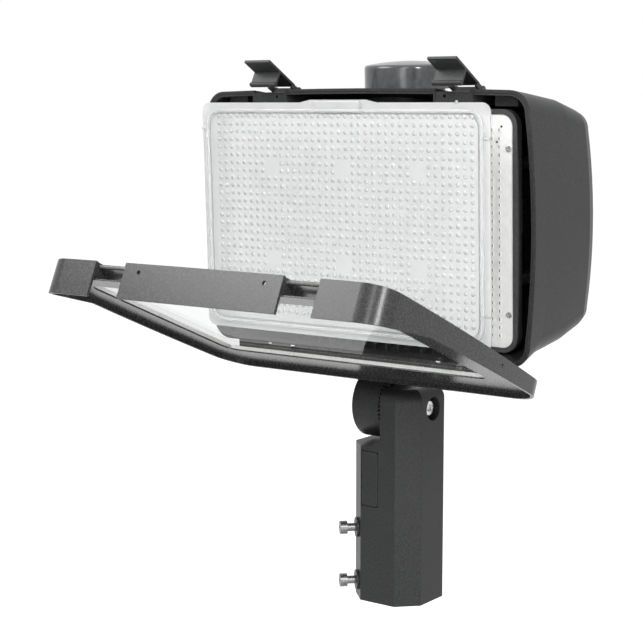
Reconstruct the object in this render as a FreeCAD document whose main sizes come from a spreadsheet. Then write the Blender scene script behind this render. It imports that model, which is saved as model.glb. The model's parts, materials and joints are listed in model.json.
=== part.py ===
import FreeCAD, Part
import math
import os
import re

import Sketcher
from FreeCAD import Placement, Rotation, Vector

os.makedirs("parts", exist_ok=True)
doc = FreeCAD.newDocument("led_flood_light")
sheet = doc.addObject("Spreadsheet::Sheet", "sizes")

# Driving sizes in mm and degrees. The row frame has its origin at the slipfitter's mouth, on the
# tenon's axis. Head sizes are taken from the knuckle's pivot, with the lamp facing along -Y.
# A size written as text is worked out from other sizes.
SIZES = [
    # Slipfitter
    ("fitter_half_flat", 39.0, "axis to one flat of the eight-sided slipfitter"),
    ("fitter_flat_half", 20.0, "half the width of a wide flat"),
    ("tenon_bore_radius", 31.0, "socket for a 60.3 mm tenon"),
    ("tenon_bore_depth", 122.0, "depth of the tenon socket"),
    ("pivot_height", 194.0, "mouth to the knuckle's pivot"),
    ("ear_rise", 20.5, "top of the ear above the pivot"),
    ("ear_rounding", 11.5, "rounding of the ear's top edges"),
    ("ear_width", 36.4, "slipfitter's ear along the pivot"),
    ("joint_right", "=fitter_half_flat - ear_width - knuckle_gap", "joint face, right of the tenon's axis"),
    ("shoulder_clearance", 3.0, "cut-away shoulder below the knuckle disc"),
    ("shoulder_run", 14.0, "width of the shoulder's sloped step"),
    ("shoulder_step", 8.0, "height of the shoulder's sloped step"),
    ("cover_width", 19.0, "wiring cover across"),
    ("cover_tall", 54.5, "wiring cover upright"),
    ("cover_low", 97.0, "lower edge of the wiring cover"),
    ("cover_thickness", 2.5, "wiring cover plate"),
    ("cover_gap", 0.6, "gap round the wiring cover"),
    ("set_screw_low", 17.0, "lower set screw above the mouth"),
    ("set_screw_pitch", 54.0, "between the set screws"),
    ("set_screw_radius", 4.0, "set screw shank"),
    ("set_screw_head_radius", 6.6, "set screw head"),
    ("set_screw_head_length", 7.0, "set screw head length"),
    ("set_screw_proud", 9.0, "bare shank between boss and head"),
    ("set_screw_boss_radius", 10.0, "boss round a set screw"),
    ("set_screw_boss_rise", 2.5, "boss above the chamfer"),
    # Knuckle
    ("knuckle_radius", 34.5, "knuckle disc"),
    ("knuckle_left", 34.0, "knuckle disc's outer face, left of the axis"),
    ("knuckle_thickness", "=knuckle_left + joint_right", "knuckle disc along the pivot"),
    ("knuckle_gap", 0.4, "running gap at the knuckle's faces"),
    ("serration_depth", 5.2, "height of the face teeth"),
    ("serration_width", 5.0, "radial width of the face teeth"),
    ("serration_count", 52, "face teeth round the disc"),
    ("serration_slot", 2.0, "slot between two teeth"),
    ("pivot_bolt_radius", 5.0, "pivot bolt shank"),
    ("running_fit", 0.05, "radial clearance of a turning shaft"),
    ("pivot_head_radius", 7.0, "pivot bolt head"),
    ("pivot_head_length", 5.0, "pivot bolt head length"),
    ("pivot_socket_flat", 3.6, "half the hex socket across its flats"),
    ("counterbore_radius", 11.7, "counterbore for the pivot bolt's head"),
    ("counterbore_depth", 9.5, "depth of that counterbore"),
    ("washer_radius", 13.0, "pivot washer"),
    ("washer_thickness", 2.0, "pivot washer"),
    ("nut_half_flat", 8.5, "half the pivot nut across its flats"),
    ("nut_thickness", 9.0, "pivot nut"),
    ("neck_half_depth", 17.0, "half the arm's neck, front to rear"),
    ("flange_left", 52.0, "arm flange, left of the axis"),
    ("flange_right", 20.0, "arm flange, right of the axis"),
    ("flange_half_depth", 28.0, "half the arm flange, front to rear"),
    ("flange_thickness", 8.0, "arm flange"),
    ("arm_gasket_thickness", 1.5, "gasket on the arm flange"),
    ("arm_seat_rise", 2.0, "housing's seat for the arm, above the rim's bottom"),
    ("arm_seat", "=rim_bottom + arm_seat_rise", "underside of the housing's seat for the arm"),
    ("arm_bolt_radius", 3.0, "arm bolt shank"),
    ("arm_bolt_head_radius", 5.5, "arm bolt head"),
    ("arm_bolt_head_length", 5.0, "arm bolt head length"),
    ("arm_bolt_inset", 8.5, "arm bolt from the flange's edges"),
    ("arm_bolt_bite", 9.0, "arm bolt into the housing's seat"),
    ("arm_seat_block", 18.0, "height of the housing's seat for the arm"),
    ("wire_hole_radius", 9.0, "wiring hole between arm and housing"),
    ("grommet_lip", 3.0, "grommet lip beyond the wiring hole"),
    ("grommet_wall", 2.0, "grommet wall"),
    ("head_tilt", 2.1, "nose-down tilt of the head at rest"),
    # Housing
    ("rim_setback", 64.0, "rim plane in front of the pivot"),
    ("rim_half_width", 188.0, "half the rim at mid height"),
    ("rim_top", 312.0, "top of the rim"),
    ("rim_bottom", 64.0, "bottom of the rim"),
    ("side_bulge", 8.5, "how far the sides bow out"),
    ("top_crown", 3.0, "how far the top bows up"),
    ("rim_corner", 20.0, "corner radius of the rim"),
    ("belt_back", 22.0, "crease behind the rim plane"),
    ("belt_setback", "=rim_setback - belt_back", "crease behind the rim's flare"),
    ("belt_drop", 3.0, "top at the crease, below the rim's"),
    ("belt_rise", 7.5, "bottom at the crease, above the rim's"),
    ("waist_at", 5.0, "second section, behind the pivot"),
    ("waist_drop", 10.0, "top at the second section"),
    ("waist_rise", 12.5, "bottom at the second section"),
    ("rear_at", 38.0, "where the rear rounding starts"),
    ("rear_drop", 19.0, "top where the rear rounding starts"),
    ("rear_rise", 20.0, "bottom where the rear rounding starts"),
    ("rear_round", 26.0, "rounding of the rear edge"),
    ("shell_wall", 3.0, "wall of the housing"),
    ("back_wall", 4.0, "rear wall of the housing"),
    ("rib_pitch", 13.2, "floor ribs, centre to centre"),
    ("rib_thickness", 2.2, "floor rib"),
    ("rib_clear", 1.0, "rib top below the LED tray"),
    ("rib_length", 34.0, "floor rib, front to rear"),
    ("rib_setback", 3.0, "floor ribs behind the rim plane"),
    ("rib_front", "=rim_setback - rib_setback", "front end of the floor ribs"),
    ("drip_drop", 8.0, "ribbed flange below the rim"),
    ("drip_setback", 2.0, "ribbed flange behind the rim plane"),
    ("drip_wall", 2.0, "ribbed flange"),
    ("drip_inset", 36.0, "end of the ribbed flange from the rim's side"),
    ("drip_clear", 0.5, "ribbed flange to a hinge ear"),
    ("post_width", 23.0, "top corner post across"),
    ("post_side", 36.0, "top corner post from the rim's side"),
    ("post_centre", "=rim_half_width - post_side", "top corner post from the middle"),
    ("post_front", 12.0, "corner post behind the rim plane"),
    ("post_depth", 18.0, "corner post, front to rear"),
    ("post_drop", 17.0, "foot of the corner post below the rim's top"),
    # Latches
    ("latch_centre", 104.0, "latch from the lamp's middle"),
    ("pocket_half", 18.3, "half the latch pocket across"),
    ("pocket_depth", 14.0, "latch pocket below the rim's top"),
    ("pocket_floor", "=rim_top - pocket_depth", "floor of the latch pocket"),
    ("pocket_wall", 2.3, "wall under and behind the pocket"),
    ("pocket_length", 36.0, "latch pocket, front to rear"),
    ("pocket_rear", "=rim_setback - pocket_length", "rear end of the pocket, in front of the pivot"),
    ("latch_pivot_back", 28.0, "latch pivot behind the rim plane"),
    ("latch_pivot_at", "=rim_setback - latch_pivot_back", "latch pivot, in front of the knuckle's pivot"),
    ("latch_pivot_drop", 3.5, "latch pivot below the rim's top"),
    ("latch_pivot_up", "=rim_top - latch_pivot_drop", "latch pivot above the knuckle's pivot"),
    ("latch_pin_radius", 2.0, "latch pivot pin"),
    ("latch_half_width", 15.2, "half the latch across"),
    ("strap_thickness", 2.4, "latch cheek across"),
    ("latch_strap", 12.0, "latch cheek, from its eye forwards"),
    ("strap_half_height", 2.3, "half the cheek's height"),
    ("latch_eye_radius", 4.2, "eye round the latch pin"),
    ("latch_side_gap", 0.3, "latch cheek to bracket"),
    ("bracket_drop", 3.7, "top of the bracket's front, below the rim's top"),
    ("bracket_face", "=rim_top - bracket_drop", "top of the bracket's front"),
    ("bracket_plate", 4.0, "bracket's front plate"),
    ("bracket_side_gap", 0.2, "bracket's front plate to the pocket's sides"),
    ("bracket_hole_in", 9.0, "hole in the bracket's front, from its middle"),
    ("bracket_hole_radius", 1.6, "hole in the bracket's front"),
    ("bracket_hole_drop", 4.0, "that hole below the bracket's top"),
    ("bracket_front_gap", 0.2, "bracket's face behind the rim plane"),
    ("web_thickness", 2.2, "latch web"),
    ("web_drop", 13.0, "latch web below its pivot line"),
    ("hook_gap", 0.35, "web to catch rod when closed"),
    ("latch_bead_radius", 2.0, "rolled edge of the latch web"),
    ("latch_plate_back", 9.0, "rear end of the latch plate, in front of its pivot"),
    ("latch_plate_low", 0.5, "rear end of the latch plate, above the pivot line"),
    ("tab_reach", 54.4, "finger end of the latch plate from its pivot"),
    ("tab_rise", 5.4, "finger end above the pivot line"),
    ("tab_thickness", 2.4, "latch plate"),
    ("latch_raise_angle", 29.0, "latch raised at rest"),
    ("catch_rod_radius", 1.9, "steel catch rod"),
    ("catch_rod_ahead", 3.5, "catch rod in front of the parting plane"),
    ("catch_rod_drop", 7.5, "catch rod below the rim's top"),
    ("rod_boss_width", 5.5, "boss at each end of a catch rod"),
    # Hinge
    ("hinge_at", "=rim_setback + parting_gap", "hinge in front of the pivot"),
    ("hinge_drop", 6.0, "hinge below the rim's bottom"),
    ("hinge_up", "=rim_bottom - hinge_drop", "hinge above the pivot"),
    ("hinge_pin_radius", 2.5, "hinge pin"),
    ("hinge_knuckle_radius", 5.0, "hinge knuckle"),
    ("hinge_centre", 98.5, "hinge from the lamp's middle"),
    ("hinge_lug_width", 20.5, "housing's hinge lug"),
    ("hinge_ear_width", 6.0, "door's hinge ear"),
    ("hinge_side_gap", 0.4, "lug to ear"),
    ("door_open_angle", 63.7, "door opened at rest"),
    # Door
    ("parting_gap", 0.5, "door edge to rim when closed"),
    ("door_overhang", 0.5, "door's side beyond the rim's"),
    ("door_half_width", "=rim_half_width + door_overhang", "half the door at mid height"),
    ("door_bulge", 6.0, "how far the door's sides bow out"),
    ("chin_drop", 42.0, "door's bottom below the rim's"),
    ("door_bottom", "=rim_bottom - chin_drop", "bottom of the door when closed"),
    ("door_top_corner", 24.0, "top corner radius of the door"),
    ("door_low_corner", 35.0, "bottom corner radius of the door"),
    ("skirt_low", 14.0, "skirt depth at the bottom"),
    ("skirt_knee", 20.0, "skirt depth at the visor's knee"),
    ("skirt_top", 33.0, "skirt depth at the top"),
    ("knee_drop", 75.0, "visor's knee below the rim's top"),
    ("knee_up", "=rim_top - knee_drop", "height of the visor's knee"),
    ("skirt_wall", 3.0, "wall of the door's skirt"),
    ("lip_recess", 5.0, "border plate behind the front rim"),
    ("lip_thickness", 1.5, "border plate"),
    ("window_side", 37.5, "window from the door's side"),
    ("window_half_width", "=door_half_width - window_side", "half the window"),
    ("window_rise", 6.0, "window above the rim's bottom"),
    ("window_low", "=rim_bottom + window_rise", "bottom of the window"),
    ("window_drop", 27.0, "window below the rim's top"),
    ("window_high", "=rim_top - window_drop", "top of the window"),
    ("window_corner", 14.0, "corner radius of the window"),
    ("gap_half", 18.0, "half a latch gap in the door's top skirt"),
    ("gap_depth", 18.0, "depth of a latch gap"),
    ("gap_floor", 2.5, "floor of a latch gap"),
    ("skirt_hole_radius", 1.9, "accessory hole in the skirt"),
    ("top_hole_at", 68.5, "accessory holes of the top skirt from the middle"),
    ("top_hole_ahead", 8.0, "those holes in front of the parting plane"),
    ("side_hole_rise", 97.0, "side accessory hole above the door's bottom"),
    ("side_hole_up", "=door_bottom + side_hole_rise", "accessory hole of each side skirt"),
    ("side_hole_ahead", 8.0, "that hole in front of the parting plane"),
    ("glass_thickness", 3.2, "door glass"),
    ("glass_overlap", 5.0, "glass beyond the window"),
    ("glass_gasket_thickness", 3.5, "gasket in front of the glass"),
    ("glass_gasket_width", 5.0, "gasket across"),
    # Light engine
    ("board_setback", 8.0, "LED board behind the rim plane"),
    ("board_front", "=rim_setback - board_setback", "LED board's front in front of the pivot"),
    ("board_side", 27.4, "LED board from the rim's side"),
    ("board_half_width", "=rim_half_width - board_side", "half the LED board"),
    ("board_rise", 15.5, "LED board above the rim's bottom"),
    ("board_low", "=rim_bottom + board_rise", "bottom of the LED board"),
    ("board_drop", 23.8, "LED board below the rim's top"),
    ("board_tall", "=rim_top - board_drop - board_low", "LED board upright"),
    ("board_corner", 11.0, "corner radius of the LED board"),
    ("board_thickness", 1.6, "LED board"),
    ("tray_border", 4.4, "tray rim round the board"),
    ("tray_lip", 0.7, "tray rim in front of the board"),
    ("tray_depth", 9.0, "LED tray"),
    ("tray_corner", 15.0, "corner radius of the tray"),
    ("board_screw_radius", 1.5, "board screw"),
    ("board_screw_head_radius", 2.8, "board screw head"),
    ("board_screw_head_length", 0.8, "board screw head"),
    ("board_screw_bite", 5.0, "board screw into the tray"),
    ("board_screw_inset", 4.0, "board screw from the board's side"),
    ("board_screw_pitch", 148.0, "board screws along a side"),
    ("tray_post_radius", 6.0, "post that carries the tray"),
    ("tray_post_x", 118.0, "tray posts from the middle"),
    ("tray_post_pitch", 110.0, "tray posts apart in height"),
    ("tray_screw_radius", 2.0, "tray screw"),
    ("tray_screw_bite", 12.0, "tray screw into its post"),
    ("tray_screw_head_radius", 3.6, "tray screw head"),
    ("tray_screw_head_length", 1.5, "tray screw head"),
    # Lens panel
    ("lens_over", 0.9, "lens panel beyond the board's side"),
    ("lens_half_width", "=board_half_width + lens_over", "half the lens panel"),
    ("lens_foot", 4.5, "seated lens panel below the board"),
    ("lens_low", "=board_low - lens_foot", "bottom of the seated lens panel"),
    ("lens_head", 3.8, "seated lens panel above the board"),
    ("lens_tall", "=board_tall + lens_foot + lens_head", "lens panel upright"),
    ("lens_corner", 9.0, "corner radius of the lens panel"),
    ("lens_field_corner", 12.0, "corner radius of the prism field"),
    ("lens_seat_gap", 0.3, "seated panel to tray rim"),
    ("lens_thickness", 2.0, "lens panel sheet"),
    ("lens_border", 11.0, "plain border of the lens panel"),
    ("lens_field_rise", 1.4, "prism field above the sheet"),
    ("lens_tab_half", 31.0, "half the panel's top tab"),
    ("lens_tab_ramp", 12.0, "sloping end of the top tab"),
    ("lens_tab_root", 5.0, "top tab's root in the panel"),
    ("lens_tab_rise", 2.5, "top tab above the panel"),
    ("lens_pull", 37.5, "panel pulled forwards at rest"),
    ("lens_lift", 8.0, "panel lifted at rest"),
    # Driver
    ("driver_half_width", 92.0, "half the LED driver"),
    ("driver_low", 152.0, "bottom of the LED driver"),
    ("driver_tall", 68.0, "LED driver upright"),
    ("driver_depth", 38.0, "LED driver"),
    ("driver_tab", 14.0, "mounting tab at each end of the driver"),
    ("driver_tab_thickness", 3.0, "mounting tab"),
    ("driver_screw_radius", 2.0, "driver screw"),
    ("driver_screw_head_radius", 4.0, "driver screw head"),
    ("driver_screw_head_length", 2.5, "driver screw head"),
    ("terminal_width", 48.0, "terminal block across"),
    ("terminal_tall", 20.0, "terminal block upright"),
    ("terminal_depth", 18.0, "terminal block"),
    ("terminal_low", 116.0, "bottom of the terminal block"),
    # Photocell
    ("cell_at", 21.7, "photocell's axis behind the pivot"),
    ("cell_radius", 42.0, "photocell"),
    ("cell_seat_drop", 7.5, "photocell's seat below the rim's top"),
    ("cell_seat", "=rim_top - cell_seat_drop", "top of the housing's seat for the receptacle"),
    ("cell_seat_radius", 40.0, "that seat"),
    ("cell_gasket_thickness", 1.0, "receptacle gasket"),
    ("receptacle_radius", 36.0, "receptacle flange"),
    ("receptacle_flange", 3.0, "receptacle flange"),
    ("receptacle_body_radius", 29.0, "receptacle body"),
    ("receptacle_hole_gap", 0.5, "receptacle body in its hole"),
    ("receptacle_depth", 14.0, "receptacle body below its flange"),
    ("receptacle_well_radius", 20.0, "contact well"),
    ("receptacle_well_depth", 12.0, "contact well"),
    ("cell_gap", 0.4, "photocell above its receptacle"),
    ("cell_wall_height", 20.0, "straight side of the photocell"),
    ("cell_dome", 7.0, "domed top of the photocell"),
    ("cell_shoulder", 3.5, "rounding of the photocell's shoulder"),
    ("prong_circle", 12.0, "contact prongs from the axis"),
    ("prong_width", 7.0, "contact prong"),
    ("prong_thickness", 1.8, "contact prong"),
    ("prong_length", 9.0, "contact prong"),
]

for row, (alias, number, note) in enumerate(SIZES, start=1):
    sheet.set("A%d" % row, note)
    sheet.setAlias("B%d" % row, alias)
for row, (alias, number, note) in enumerate(SIZES, start=1):
    sheet.set("B%d" % row, str(number))
doc.recompute()
NAMES = {alias for alias, number, note in SIZES}


def size(alias):
    """One driving size, read from the sheet."""
    return float(sheet.get(alias))


def bound(text):
    """Point every size name of an expression at the sheet."""
    return re.sub(r"[a-z][a-z_0-9]*",
                  lambda m: "sizes." + m.group(0) if m.group(0) in NAMES else m.group(0), text)


# Primitives and booleans, with their sizes bound to the sheet.
ALONG = {"x": Rotation(Vector(0, 1, 0), 90), "y": Rotation(Vector(1, 0, 0), -90), "z": Rotation()}


def put(solid, start):
    for letter, text in zip("xyz", start):
        solid.setExpression("Placement.Base." + letter, bound(text))


def box(name, corner, extent):
    """Box from its low corner and its extent along x, y and z."""
    solid = doc.addObject("Part::Box", name)
    for side, text in zip(("Length", "Width", "Height"), extent):
        solid.setExpression(side, bound(text))
    put(solid, corner)
    return solid


def rod(name, axis, start, radius, length):
    """Cylinder that starts at a point and runs along +x, +y or +z."""
    solid = doc.addObject("Part::Cylinder", name)
    solid.Placement = Placement(Vector(), ALONG[axis])
    solid.setExpression("Radius", bound(radius))
    solid.setExpression("Height", bound(length))
    put(solid, start)
    return solid


def fuse(name, pieces):
    joined = doc.addObject("Part::MultiFuse", name)
    joined.Shapes = pieces
    return joined


def cut(name, base, tools):
    """Base with every tool taken out of it."""
    tool = tools[0]
    if len(tools) > 1:
        tool = fuse(name + "_tools", tools)
    left = doc.addObject("Part::Cut", name)
    left.Base = base
    left.Tool = tool
    return left


def group(name, pieces):
    """Loose solids that share one node."""
    held = doc.addObject("Part::Compound", name)
    held.Links = pieces
    return held


# Sketched bodies.
def sketch_on(body, name, role, offset="0", rise="0"):
    """Sketch on one of the body's own planes, moved along the plane's normal and up in it."""
    sketch = body.newObject("Sketcher::SketchObject", name)
    plane = [part for part in body.Origin.OriginFeatures if part.Role == role][0]
    sketch.AttachmentSupport = [(plane, "")]
    sketch.MapMode = "FlatFace"
    sketch.setExpression("AttachmentOffset.Base.z", bound(offset))
    sketch.setExpression("AttachmentOffset.Base.y", bound(rise))
    return sketch


def hold(sketch, kind, first, second, text, number):
    """Dimension that takes its value from the sheet."""
    index = sketch.addConstraint(Sketcher.Constraint(kind, *first, *second, number))
    sketch.setExpression("Constraints[%d]" % index, bound(text))


def polygon(sketch, points):
    """Closed outline with each corner dimensioned from the sketch's origin."""
    count = len(points)
    ring = [Vector(60 * math.cos(2 * math.pi * k / count), 60 * math.sin(2 * math.pi * k / count), 0)
            for k in range(count)]
    first = len(sketch.Geometry)
    for k in range(count):
        sketch.addGeometry(Part.LineSegment(ring[k], ring[(k + 1) % count]))
    for k in range(count):
        sketch.addConstraint(Sketcher.Constraint("Coincident", first + k, 2, first + (k + 1) % count, 1))
    for k, (across, up) in enumerate(points):
        hold(sketch, "DistanceX", (-1, 1), (first + k, 1), across, ring[k].x)
        hold(sketch, "DistanceY", (-1, 1), (first + k, 1), up, ring[k].y)


def rectangle(sketch, left, low, right, high):
    polygon(sketch, [(left, low), (right, low), (right, high), (left, high)])


def circle(sketch, across, up, radius):
    index = sketch.addGeometry(Part.Circle(Vector(5, 5, 0), Vector(0, 0, 1), 10))
    hold(sketch, "DistanceX", (-1, 1), (index, 3), across, 5)
    hold(sketch, "DistanceY", (-1, 1), (index, 3), up, 5)
    at = sketch.addConstraint(Sketcher.Constraint("Radius", index, 10))
    sketch.setExpression("Constraints[%d]" % at, bound(radius))


def pad(body, sketch, length, back=False):
    feature = body.newObject("PartDesign::Pad", sketch.Name + "_pad")
    feature.Profile = sketch
    feature.setExpression("Length", bound(length))
    feature.Reversed = back
    return feature


def pocket(body, sketch, length, back=False):
    feature = body.newObject("PartDesign::Pocket", sketch.Name + "_pocket")
    feature.Profile = sketch
    feature.setExpression("Length", bound(length))
    feature.Reversed = back
    return feature


def turn(body, sketch, axis="V_Axis"):
    feature = body.newObject("PartDesign::Revolution", sketch.Name + "_turn")
    feature.Profile = sketch
    feature.ReferenceAxis = (sketch, [axis])
    feature.Angle = 360
    return feature


def round_edges(body, feature, radius, chosen):
    """Fillet the edges of a feature that a test on the edge picks."""
    doc.recompute()
    names = ["Edge%d" % (k + 1) for k, edge in enumerate(feature.Shape.Edges) if chosen(edge)]
    fillet = body.newObject("PartDesign::Fillet", feature.Name + "_round")
    fillet.Base = (feature, names)
    fillet.setExpression("Radius", bound(radius))
    return fillet


def runs_along(edge, direction):
    if edge.Curve.TypeId != "Part::GeomLine":
        return False
    return abs(edge.Curve.Direction.dot(direction)) > 0.999


def runs_deep(edge):
    return runs_along(edge, Vector(0, 1, 0))


# Frames: the head on its pivot, the open door on its hinge, the leaning border plate of the door.
HEAD = Placement(Vector(0, 0, size("pivot_height")), Rotation(Vector(1, 0, 0), size("head_tilt")))
hinge_point = Vector(0, -size("hinge_at"), size("hinge_up"))
DOOR = HEAD * Placement(hinge_point, Rotation(Vector(1, 0, 0), size("door_open_angle"))) * Placement(
    hinge_point * -1, Rotation())
parting = -size("rim_setback") - size("parting_gap")
front_low = parting - size("skirt_low")
front_knee = parting - size("skirt_knee")
front_top = parting - size("skirt_top")
lean = math.atan2(front_low - front_knee, size("knee_up") - size("door_bottom"))
PLATE = DOOR * Placement(Vector(0, front_low + size("lip_recess") + size("lip_thickness"),
                                size("door_bottom")),
                         Rotation(Vector(1, 0, 0), math.degrees(lean)))
LENS = HEAD * Placement(Vector(0, -size("lens_pull"), size("lens_lift")), Rotation())
ROOT = Placement()

nodes = []


def node(piece, frame):
    """Put a finished piece in its frame and keep it for export."""
    piece.Label = piece.Name
    piece.Placement = frame
    nodes.append(piece)
    return piece


# Shapes drawn by code: barrel outlines, lofted shells and prisms.
def barrel(y, half_width, bottom, top, bulge, crown, low_corner, top_corner):
    """Closed wire in a plane of constant y: bowed sides, crowned top, flat bottom, round corners."""
    middle = (bottom + top) / 2
    half_height = (top - bottom) / 2
    low = bottom + low_corner
    high = top - crown - top_corner

    def side(z):
        return half_width - bulge * ((z - middle) / half_height) ** 2

    low_x = side(low)
    high_x = side(high)
    top_x = high_x - top_corner
    top_z = top - crown * (top_x / (half_width - bulge)) ** 2
    foot_x = low_x - low_corner
    slant = math.sqrt(0.5)
    high_mid = (top_x + top_corner * slant, high + top_corner * slant + (top_z - top + crown) / 2)
    low_mid = (foot_x + low_corner * slant, low - low_corner * slant)

    def at(x, z):
        return Vector(x, y, z)

    def bow(start, through, end):
        return Part.Arc(at(*start), at(*through), at(*end)).toShape()

    return Part.Wire([
        bow((low_x, low), (half_width, middle), (high_x, high)),
        bow((high_x, high), high_mid, (top_x, top_z)),
        bow((top_x, top_z), (0, top), (-top_x, top_z)),
        bow((-top_x, top_z), (-high_mid[0], high_mid[1]), (-high_x, high)),
        bow((-high_x, high), (-half_width, middle), (-low_x, low)),
        bow((-low_x, low), (-low_mid[0], low_mid[1]), (-foot_x, bottom)),
        Part.makeLine(at(-foot_x, bottom), at(foot_x, bottom)),
        bow((foot_x, bottom), low_mid, (low_x, low)),
    ])


def side_prism(half_width, points):
    """Prism across the lamp with an outline drawn in y and z."""
    corners = [Vector(-half_width, y, z) for y, z in points]
    return Part.Face(Part.makePolygon(corners + corners[:1])).extrude(Vector(2 * half_width, 0, 0))


def block(x0, x1, y0, y1, z0, z1):
    return Part.makeBox(x1 - x0, y1 - y0, z1 - z0, Vector(x0, y0, z0))


def bar(axis, start, radius, length):
    return Part.makeCylinder(radius, length, Vector(*start), axis)


def coded(name, shape, frame):
    """Feature whose shape is drawn by code from the sheet's sizes."""
    piece = doc.addObject("Part::Feature", name)
    piece.Shape = shape
    return node(piece, frame)


ACROSS = Vector(1, 0, 0)
DEEP = Vector(0, 1, 0)
UPWARD = Vector(0, 0, 1)


# Slipfitter: an eight-sided casting, cut away at the left for the knuckle disc.
fitter = doc.addObject("PartDesign::Body", "slipfitter_cast")
flats = sketch_on(fitter, "fitter_flats", "XY_Plane")
polygon(flats, [("fitter_half_flat", "-fitter_flat_half"), ("fitter_half_flat", "fitter_flat_half"),
                ("fitter_flat_half", "fitter_half_flat"), ("-fitter_flat_half", "fitter_half_flat"),
                ("-fitter_half_flat", "fitter_flat_half"), ("-fitter_half_flat", "-fitter_flat_half"),
                ("-fitter_flat_half", "-fitter_half_flat"), ("fitter_flat_half", "-fitter_half_flat")])
column = pad(fitter, flats, "pivot_height + ear_rise")
fitter_top = size("pivot_height") + size("ear_rise")
rounded = round_edges(fitter, column, "ear_rounding",
                      lambda edge: edge.BoundBox.ZMin > fitter_top - 0.01)
away = sketch_on(fitter, "fitter_away", "XZ_Plane", "-2 * fitter_half_flat", "pivot_height")
face_x = "joint_right + knuckle_gap"
shoulder = "-(knuckle_radius + shoulder_clearance)"
polygon(away, [("-2 * fitter_half_flat", shoulder),
               (face_x + " - shoulder_run", shoulder),
               (face_x, shoulder + " + shoulder_step"),
               (face_x, "2 * ear_rise"),
               ("-2 * fitter_half_flat", "2 * ear_rise")])
pocket(fitter, away, "4 * fitter_half_flat", back=True)

chamfer_out = "(fitter_half_flat + fitter_flat_half) / sqrt(2)"


def chamfer_rod(name, height, inner, radius, length):
    """Cylinder square to the front left chamfer, from a distance off the axis outwards."""
    solid = doc.addObject("Part::Cylinder", name)
    solid.Placement = Placement(Vector(), Rotation(Vector(0, 0, 1), Vector(-1, -1, 0)))
    solid.setExpression("Radius", bound(radius))
    solid.setExpression("Height", bound(length))
    put(solid, ("-(" + inner + ") / sqrt(2)", "-(" + inner + ") / sqrt(2)", height))
    return solid


screw_heights = ("set_screw_low", "set_screw_low + set_screw_pitch")
bosses = []
screw_holes = []
set_screws = []
for k, height in enumerate(screw_heights):
    boss_inner = "tenon_bore_radius + 3"
    boss_outer = chamfer_out + " + set_screw_boss_rise"
    bosses.append(chamfer_rod("fitter_boss_%d" % k, height, boss_inner, "set_screw_boss_radius",
                              boss_outer + " - (" + boss_inner + ")"))
    screw_holes.append(chamfer_rod("fitter_screw_hole_%d" % k, height, "0", "set_screw_radius",
                                   boss_outer + " + 5"))
    shank = chamfer_rod("set_screw_shank_%d" % k, height, "tenon_bore_radius", "set_screw_radius",
                        boss_outer + " + set_screw_proud - tenon_bore_radius")
    head = chamfer_rod("set_screw_head_%d" % k, height, boss_outer + " + set_screw_proud",
                       "set_screw_head_radius", "set_screw_head_length")
    whole = fuse("set_screw_blank_%d" % k, [shank, head])
    dimple = chamfer_rod("set_screw_dimple_%d" % k, height,
                         boss_outer + " + set_screw_proud + 0.6 * set_screw_head_length",
                         "0.5 * set_screw_radius", "set_screw_head_length")
    set_screws.append(cut("set_screw_%d" % k, whole, [dimple]))

cast = fuse("slipfitter_bossed", [fitter] + bosses)
disc_room = rod("fitter_disc_room", "x", ("-2 * fitter_half_flat", "0", "pivot_height"),
                "knuckle_radius + 0.5 * shoulder_clearance",
                "2 * fitter_half_flat + joint_right + knuckle_gap")
socket = rod("fitter_socket", "z", ("0", "0", "-1"), "tenon_bore_radius", "tenon_bore_depth + 1")
bolt_hole = rod("fitter_bolt_hole", "x", ("-fitter_half_flat", "0", "pivot_height"), "pivot_bolt_radius",
                "2 * fitter_half_flat")
bolt_well = rod("fitter_bolt_well", "x", ("fitter_half_flat - counterbore_depth", "0", "pivot_height"),
                "counterbore_radius", "counterbore_depth + 1")
cover_well = box("fitter_cover_well",
                 ("-cover_width - cover_gap", "-fitter_half_flat - 1", "cover_low - cover_gap"),
                 ("cover_width + 2 * cover_gap", "cover_thickness + 1", "cover_tall + 2 * cover_gap"))
node(cut("slipfitter_body", cast,
         [socket, disc_room, bolt_hole, bolt_well, cover_well] + screw_holes), ROOT)
node(group("set_screws", set_screws), ROOT)

cover = doc.addObject("PartDesign::Body", "slipfitter_cover")
cover_face = sketch_on(cover, "cover_face", "XZ_Plane", "fitter_half_flat")
rectangle(cover_face, "-cover_width", "cover_low", "0", "cover_low + cover_tall")
cover_plate = pad(cover, cover_face, "cover_thickness", back=True)
round_edges(cover, cover_plate, "cover_thickness", runs_deep)
node(cover, ROOT)

# Pivot bolt with its hex socket, washer and nut.
bolt = doc.addObject("PartDesign::Body", "pivot_bolt")
bolt_half = sketch_on(bolt, "bolt_half", "XZ_Plane", "0", "pivot_height")
head_in = "fitter_half_flat - counterbore_depth"
bolt_end = "joint_right - knuckle_thickness - knuckle_gap - washer_thickness - nut_thickness - 2"
polygon(bolt_half, [(bolt_end, "0"), (head_in + " + pivot_head_length", "0"),
                    (head_in + " + pivot_head_length", "pivot_head_radius"),
                    (head_in, "pivot_head_radius"), (head_in, "pivot_bolt_radius"),
                    (bolt_end, "pivot_bolt_radius")])
turn(bolt, bolt_half, "H_Axis")
hexagon = sketch_on(bolt, "bolt_socket", "YZ_Plane", head_in + " + pivot_head_length", "pivot_height")
half_side = "pivot_socket_flat / sqrt(3)"
polygon(hexagon, [("pivot_socket_flat", "-" + half_side), ("pivot_socket_flat", half_side),
                  ("0", "2 * " + half_side), ("-pivot_socket_flat", half_side),
                  ("-pivot_socket_flat", "-" + half_side), ("0", "-2 * " + half_side)])
pocket(bolt, hexagon, "0.7 * pivot_head_length")
node(bolt, ROOT)

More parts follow.
